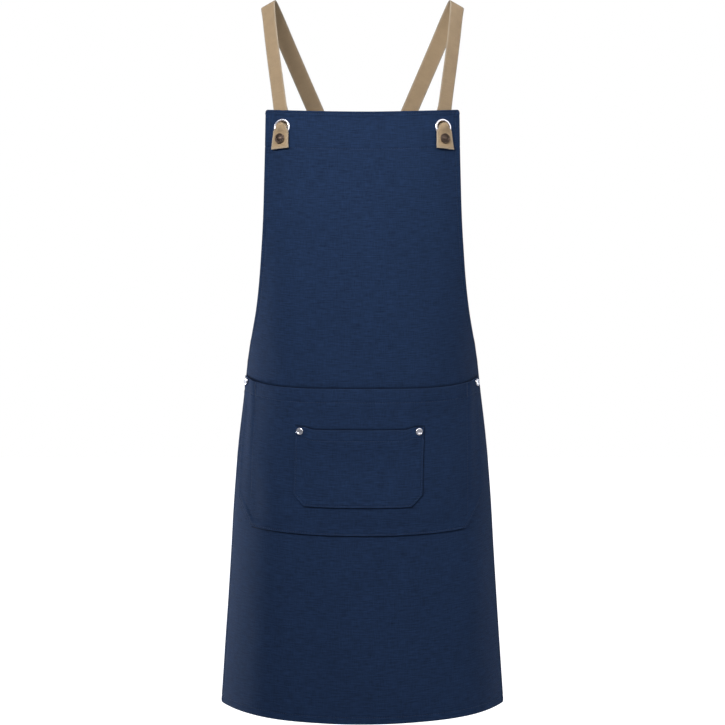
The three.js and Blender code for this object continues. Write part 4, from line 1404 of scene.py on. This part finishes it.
def nickel_plate(name, colour, smoothest, roughest):
    """Nickel plate with fine handling marks."""
    material, tree = new_material(name)
    place = object_place(tree)
    marks = placed(tree, SCUFFS, Place=place, Strength=0.5)
    tone = placed(tree, MOTTLE, Place=place, Scale=300.0, Strength=0.06)
    surface = {
        "Base Color": shaded(tree, colour, tone["Shade"]),
        "Metallic": 1.0,
        "Roughness": ranged(tree, marks["Mask"], 0.0, 0.8, smoothest, roughest),
        "Normal": raised(tree, marks["Height"], distance=0.00002, strength=0.5),
    }
    finish_surface(tree, surface)
    return material


BRIGHT_RIM_RADIUS = 6.6


def antique_brass():
    """Blackened brass with a satin surface, rubbed brighter on its raised rim."""
    material, tree = new_material("antique brass")
    place = object_place(tree)
    marks = placed(tree, SCUFFS, Place=place, Strength=0.6)
    tone = placed(tree, MOTTLE, Place=place, Scale=220.0, Strength=0.45)
    dark = shaded(tree, (0.07, 0.05, 0.04, 1), tone["Shade"])
    radius = parts_of(tree, flat_place(tree))["X"]
    from_rim = maths(tree, "ABSOLUTE", minus(tree, radius, BRIGHT_RIM_RADIUS * MM))
    ridge = ranged(tree, from_rim, 0.0, 0.0009, 0.3, 0.0)
    rubbed = times(tree, ridge, plus(tree, marks["Mask"], 0.35))
    surface = {
        "Base Color": mixed(tree, rubbed, dark, (0.26, 0.185, 0.135, 1)),
        "Metallic": 1.0,
        "Roughness": ranged(tree, marks["Mask"], 0.0, 0.9, 0.4, 0.54),
        "Normal": raised(tree, marks["Height"], distance=0.00003, strength=0.6),
    }
    finish_surface(tree, surface)
    return material


def painted_seam_shade(pocket, nudge, sag, reach):
    """Where painted shade lies round a pocket's sewn edges, in metres; nudge moves it to the right, away
    from the key light on the left.
    """
    lengths = {
        "Middle": pocket_centre(pocket.mouth) + nudge,
        "Half": pocket.half,
        "Mouth": pocket.mouth,
        "Bottom": pocket.bottom,
        "Chamfer": pocket.chamfer,
        "Sag": sag,
        "Reach": reach,
    }
    return {"Slope": POCKET_LEAN / WIDE.depth, **{name: length * MM for name, length in lengths.items()}}


# Camera, light and floor

CAMERA_PLACE = (0, -2.725, -0.537)
CAMERA_LENS = 90.27
FLOOR_LEVEL = -1.42
FLOOR_REACH = 14
FLOOR_GLOW = (0.06, 0.95)
COOL_LIGHT = (0.76, 0.86, 1)
WHITE_LIGHT = (1, 1, 1)

# How bright the surroundings are from each way: the two directions between which the light changes, and its
# strength at both
LIGHT_FROM_ABOVE = (-0.3, 0.8, 0.05, 0.42)
LIGHT_FROM_BEHIND = (0.0, 0.9, 0.0, 0.25)
LIGHT_FROM_RIGHT = (-0.2, 0.9, 0.0, 0.18)
MIRRORED_BOOST = 1.8


def add_camera():
    camera = add_object("camera", bpy.data.cameras.new("camera"))
    camera.location = CAMERA_PLACE
    camera.rotation_euler = (np.pi / 2, 0, 0)
    camera.data.sensor_width = 36
    camera.data.lens = CAMERA_LENS
    bpy.context.scene.camera = camera


def add_softbox(name, place, target, size, power, spread, colour):
    lamp = bpy.data.lights.new(name, "AREA")
    lamp.shape = "RECTANGLE"
    lamp.size, lamp.size_y = size
    lamp.energy = power
    lamp.color = colour
    lamp.spread = float(np.radians(spread))
    box = add_object(name, lamp)
    box.location = place
    box.rotation_euler = (Vector(target) - Vector(place)).to_track_quat("-Z", "Y").to_euler()


def add_surroundings():
    """White surroundings for the camera, and a softer light on the cloth that is strongest from above."""
    world = bpy.data.worlds.new("studio")
    bpy.context.scene.world = world
    world.use_nodes = True
    tree = world.node_tree
    soft = tree.nodes["Background"]
    way = parts_of(tree, tree.nodes.new("ShaderNodeTexCoord").outputs["Generated"])
    from_above = ranged(tree, way["Z"], *LIGHT_FROM_ABOVE)
    from_behind = ranged(tree, way["Y"], *LIGHT_FROM_BEHIND)
    from_right = ranged(tree, way["X"], *LIGHT_FROM_RIGHT)
    strength = plus(tree, from_above, plus(tree, from_behind, from_right))
    path = tree.nodes.new("ShaderNodeLightPath").outputs
    mirrored = ranged(tree, path["Is Glossy Ray"], 0, 1, 1, MIRRORED_BOOST)
    wire(tree, (0.93, 0.95, 1, 1), soft.inputs["Color"])
    wire(tree, times(tree, strength, mirrored), soft.inputs["Strength"])
    seen = wired(tree, "ShaderNodeBackground", ((1, 1, 1, 1), 1.0))
    mix = wired(tree, "ShaderNodeMixShader", (path["Is Camera Ray"], soft.outputs[0], seen.outputs[0]))
    wire(tree, mix.outputs[0], tree.nodes["World Output"].inputs["Surface"])


def add_floor():
    """A plain pale floor."""
    sheet = bmesh.new()
    bmesh.ops.create_grid(sheet, x_segments=8, y_segments=8, size=FLOOR_REACH)
    mesh = bpy.data.meshes.new("floor")
    sheet.to_mesh(mesh)
    sheet.free()
    material, tree = new_material("pale floor")
    seen = tree.nodes.new("ShaderNodeLightPath").outputs["Is Camera Ray"]
    surface = {
        "Base Color": (0.6, 0.6, 0.6, 1),
        "Roughness": 0.9,
        "Emission Color": (1, 1, 1, 1),
        "Emission Strength": ranged(tree, seen, 0, 1, *FLOOR_GLOW),
    }
    finish_surface(tree, surface)
    mesh.materials.append(material)
    floor = add_object("floor", mesh)
    floor.location = (0, 0, FLOOR_LEVEL)


bpy.context.scene.view_settings.view_transform = "Standard"
add_camera()
add_surroundings()
add_floor()
add_softbox("key light", (-0.85, -1.95, 0.95), (0.1, -0.1, -0.18), (0.8, 0.8), 6.8, 56, WHITE_LIGHT)
add_softbox("fill light", (1.7, -1.6, 0.7), (0.1, -0.1, -0.3), (1.6, 1.6), 19, 180, WHITE_LIGHT)
add_softbox("left edge light", (-1.7, 1.15, -1.1), (-0.15, 0, -0.95), (0.5, 1.0), 10, 76, COOL_LIGHT)
add_softbox("right edge light", (1.6, 1.5, -0.7), (0.15, 0, -0.7), (0.4, 1.4), 8, 180, COOL_LIGHT)

# The front's canvas and the wide pocket's canvas carry painted shade round the pocket sewn on each; the
# small pocket's canvas has none.
panel_canvas = navy_canvas("navy canvas of the front with painted shade", painted_seam_shade(WIDE, 0.5, 0, 2.4))
pocket_canvas = navy_canvas("navy canvas of the wide pocket with painted shade", painted_seam_shade(PATCH, 0.6, PATCH_MOUTH_SAG, 2.2))
patch_canvas = navy_canvas("navy canvas of the small pocket")
webbing = tan_webbing()
thread = sewing_thread()
nickel = nickel_plate("polished nickel", (0.58, 0.57, 0.61, 1), 0.1, 0.28)
pale_nickel = nickel_plate("pale nickel", (0.82, 0.8, 0.86, 1), 0.22, 0.38)
brass = antique_brass()

panel = make_panel(panel_canvas)
divider_columns = beside_rows(DIVIDER_ROWS, BESIDE_DIVIDER_ROW)
wide_pocket = make_pocket("wide_pocket", WIDE, (wide_outer, wide_inner), divider_columns, pocket_canvas)
small_pocket = make_pocket("small_pocket", PATCH, (patch_outer, patch_inner), [0.0], patch_canvas, patch_sag)
pocket_rivets = []
patch_rivets = []
for name, side in SIDES.items():
    place, grip = rivet_place(wide_body, panel_inner, WIDE, side)
    make_fitting(f"wide_pocket_rivet_{name}", rivet_profile(grip), place, nickel)
    pocket_rivets.append(place)
    place, grip = rivet_place(patch_body, wide_inner, PATCH, side)
    make_fitting(f"small_pocket_rivet_{name}", rivet_profile(grip), place, nickel)
    patch_rivets.append(place)
    eyelet = EYELETS[name]
    snap = snap_place(eyelet)
    make_fitting(f"eyelet_{name}", eyelet_profile(), eyelet, pale_nickel)
    make_fitting(f"snap_stud_{name}", snap_stud_profile(), snap, brass)
    make_fitting(f"snap_cap_{name}", snap_cap_profile(), snap, brass)
    make_strap(f"strap_{name}", eyelet, webbing)

rivet_bore = RIVET_POST_RADIUS + LAYER_GAP
eyelet_bore = EYELET_HOLE_RADIUS + EYELET_BARREL + LAYER_GAP
snap_bore = SNAP_POST_RADIUS + SNAP_SOCKET_WALL + 2 * LAYER_GAP
snaps = [snap_place(eyelet) for eyelet in EYELETS.values()]
holes = [*pocket_rivets, *EYELETS.values(), *snaps]
bore_holes(panel, holes, [rivet_bore] * 2 + [eyelet_bore] * 2 + [snap_bore] * 2)
bore_holes(wide_pocket, pocket_rivets + patch_rivets, rivet_bore)
bore_holes(small_pocket, patch_rivets, rivet_bore)

hem_stitching = make_hem_stitching(thread)
pocket_stitching = make_wide_stitching(thread)
patch_stitching = make_patch_stitching(thread)
bar_tacks = make_bar_tacks(thread)
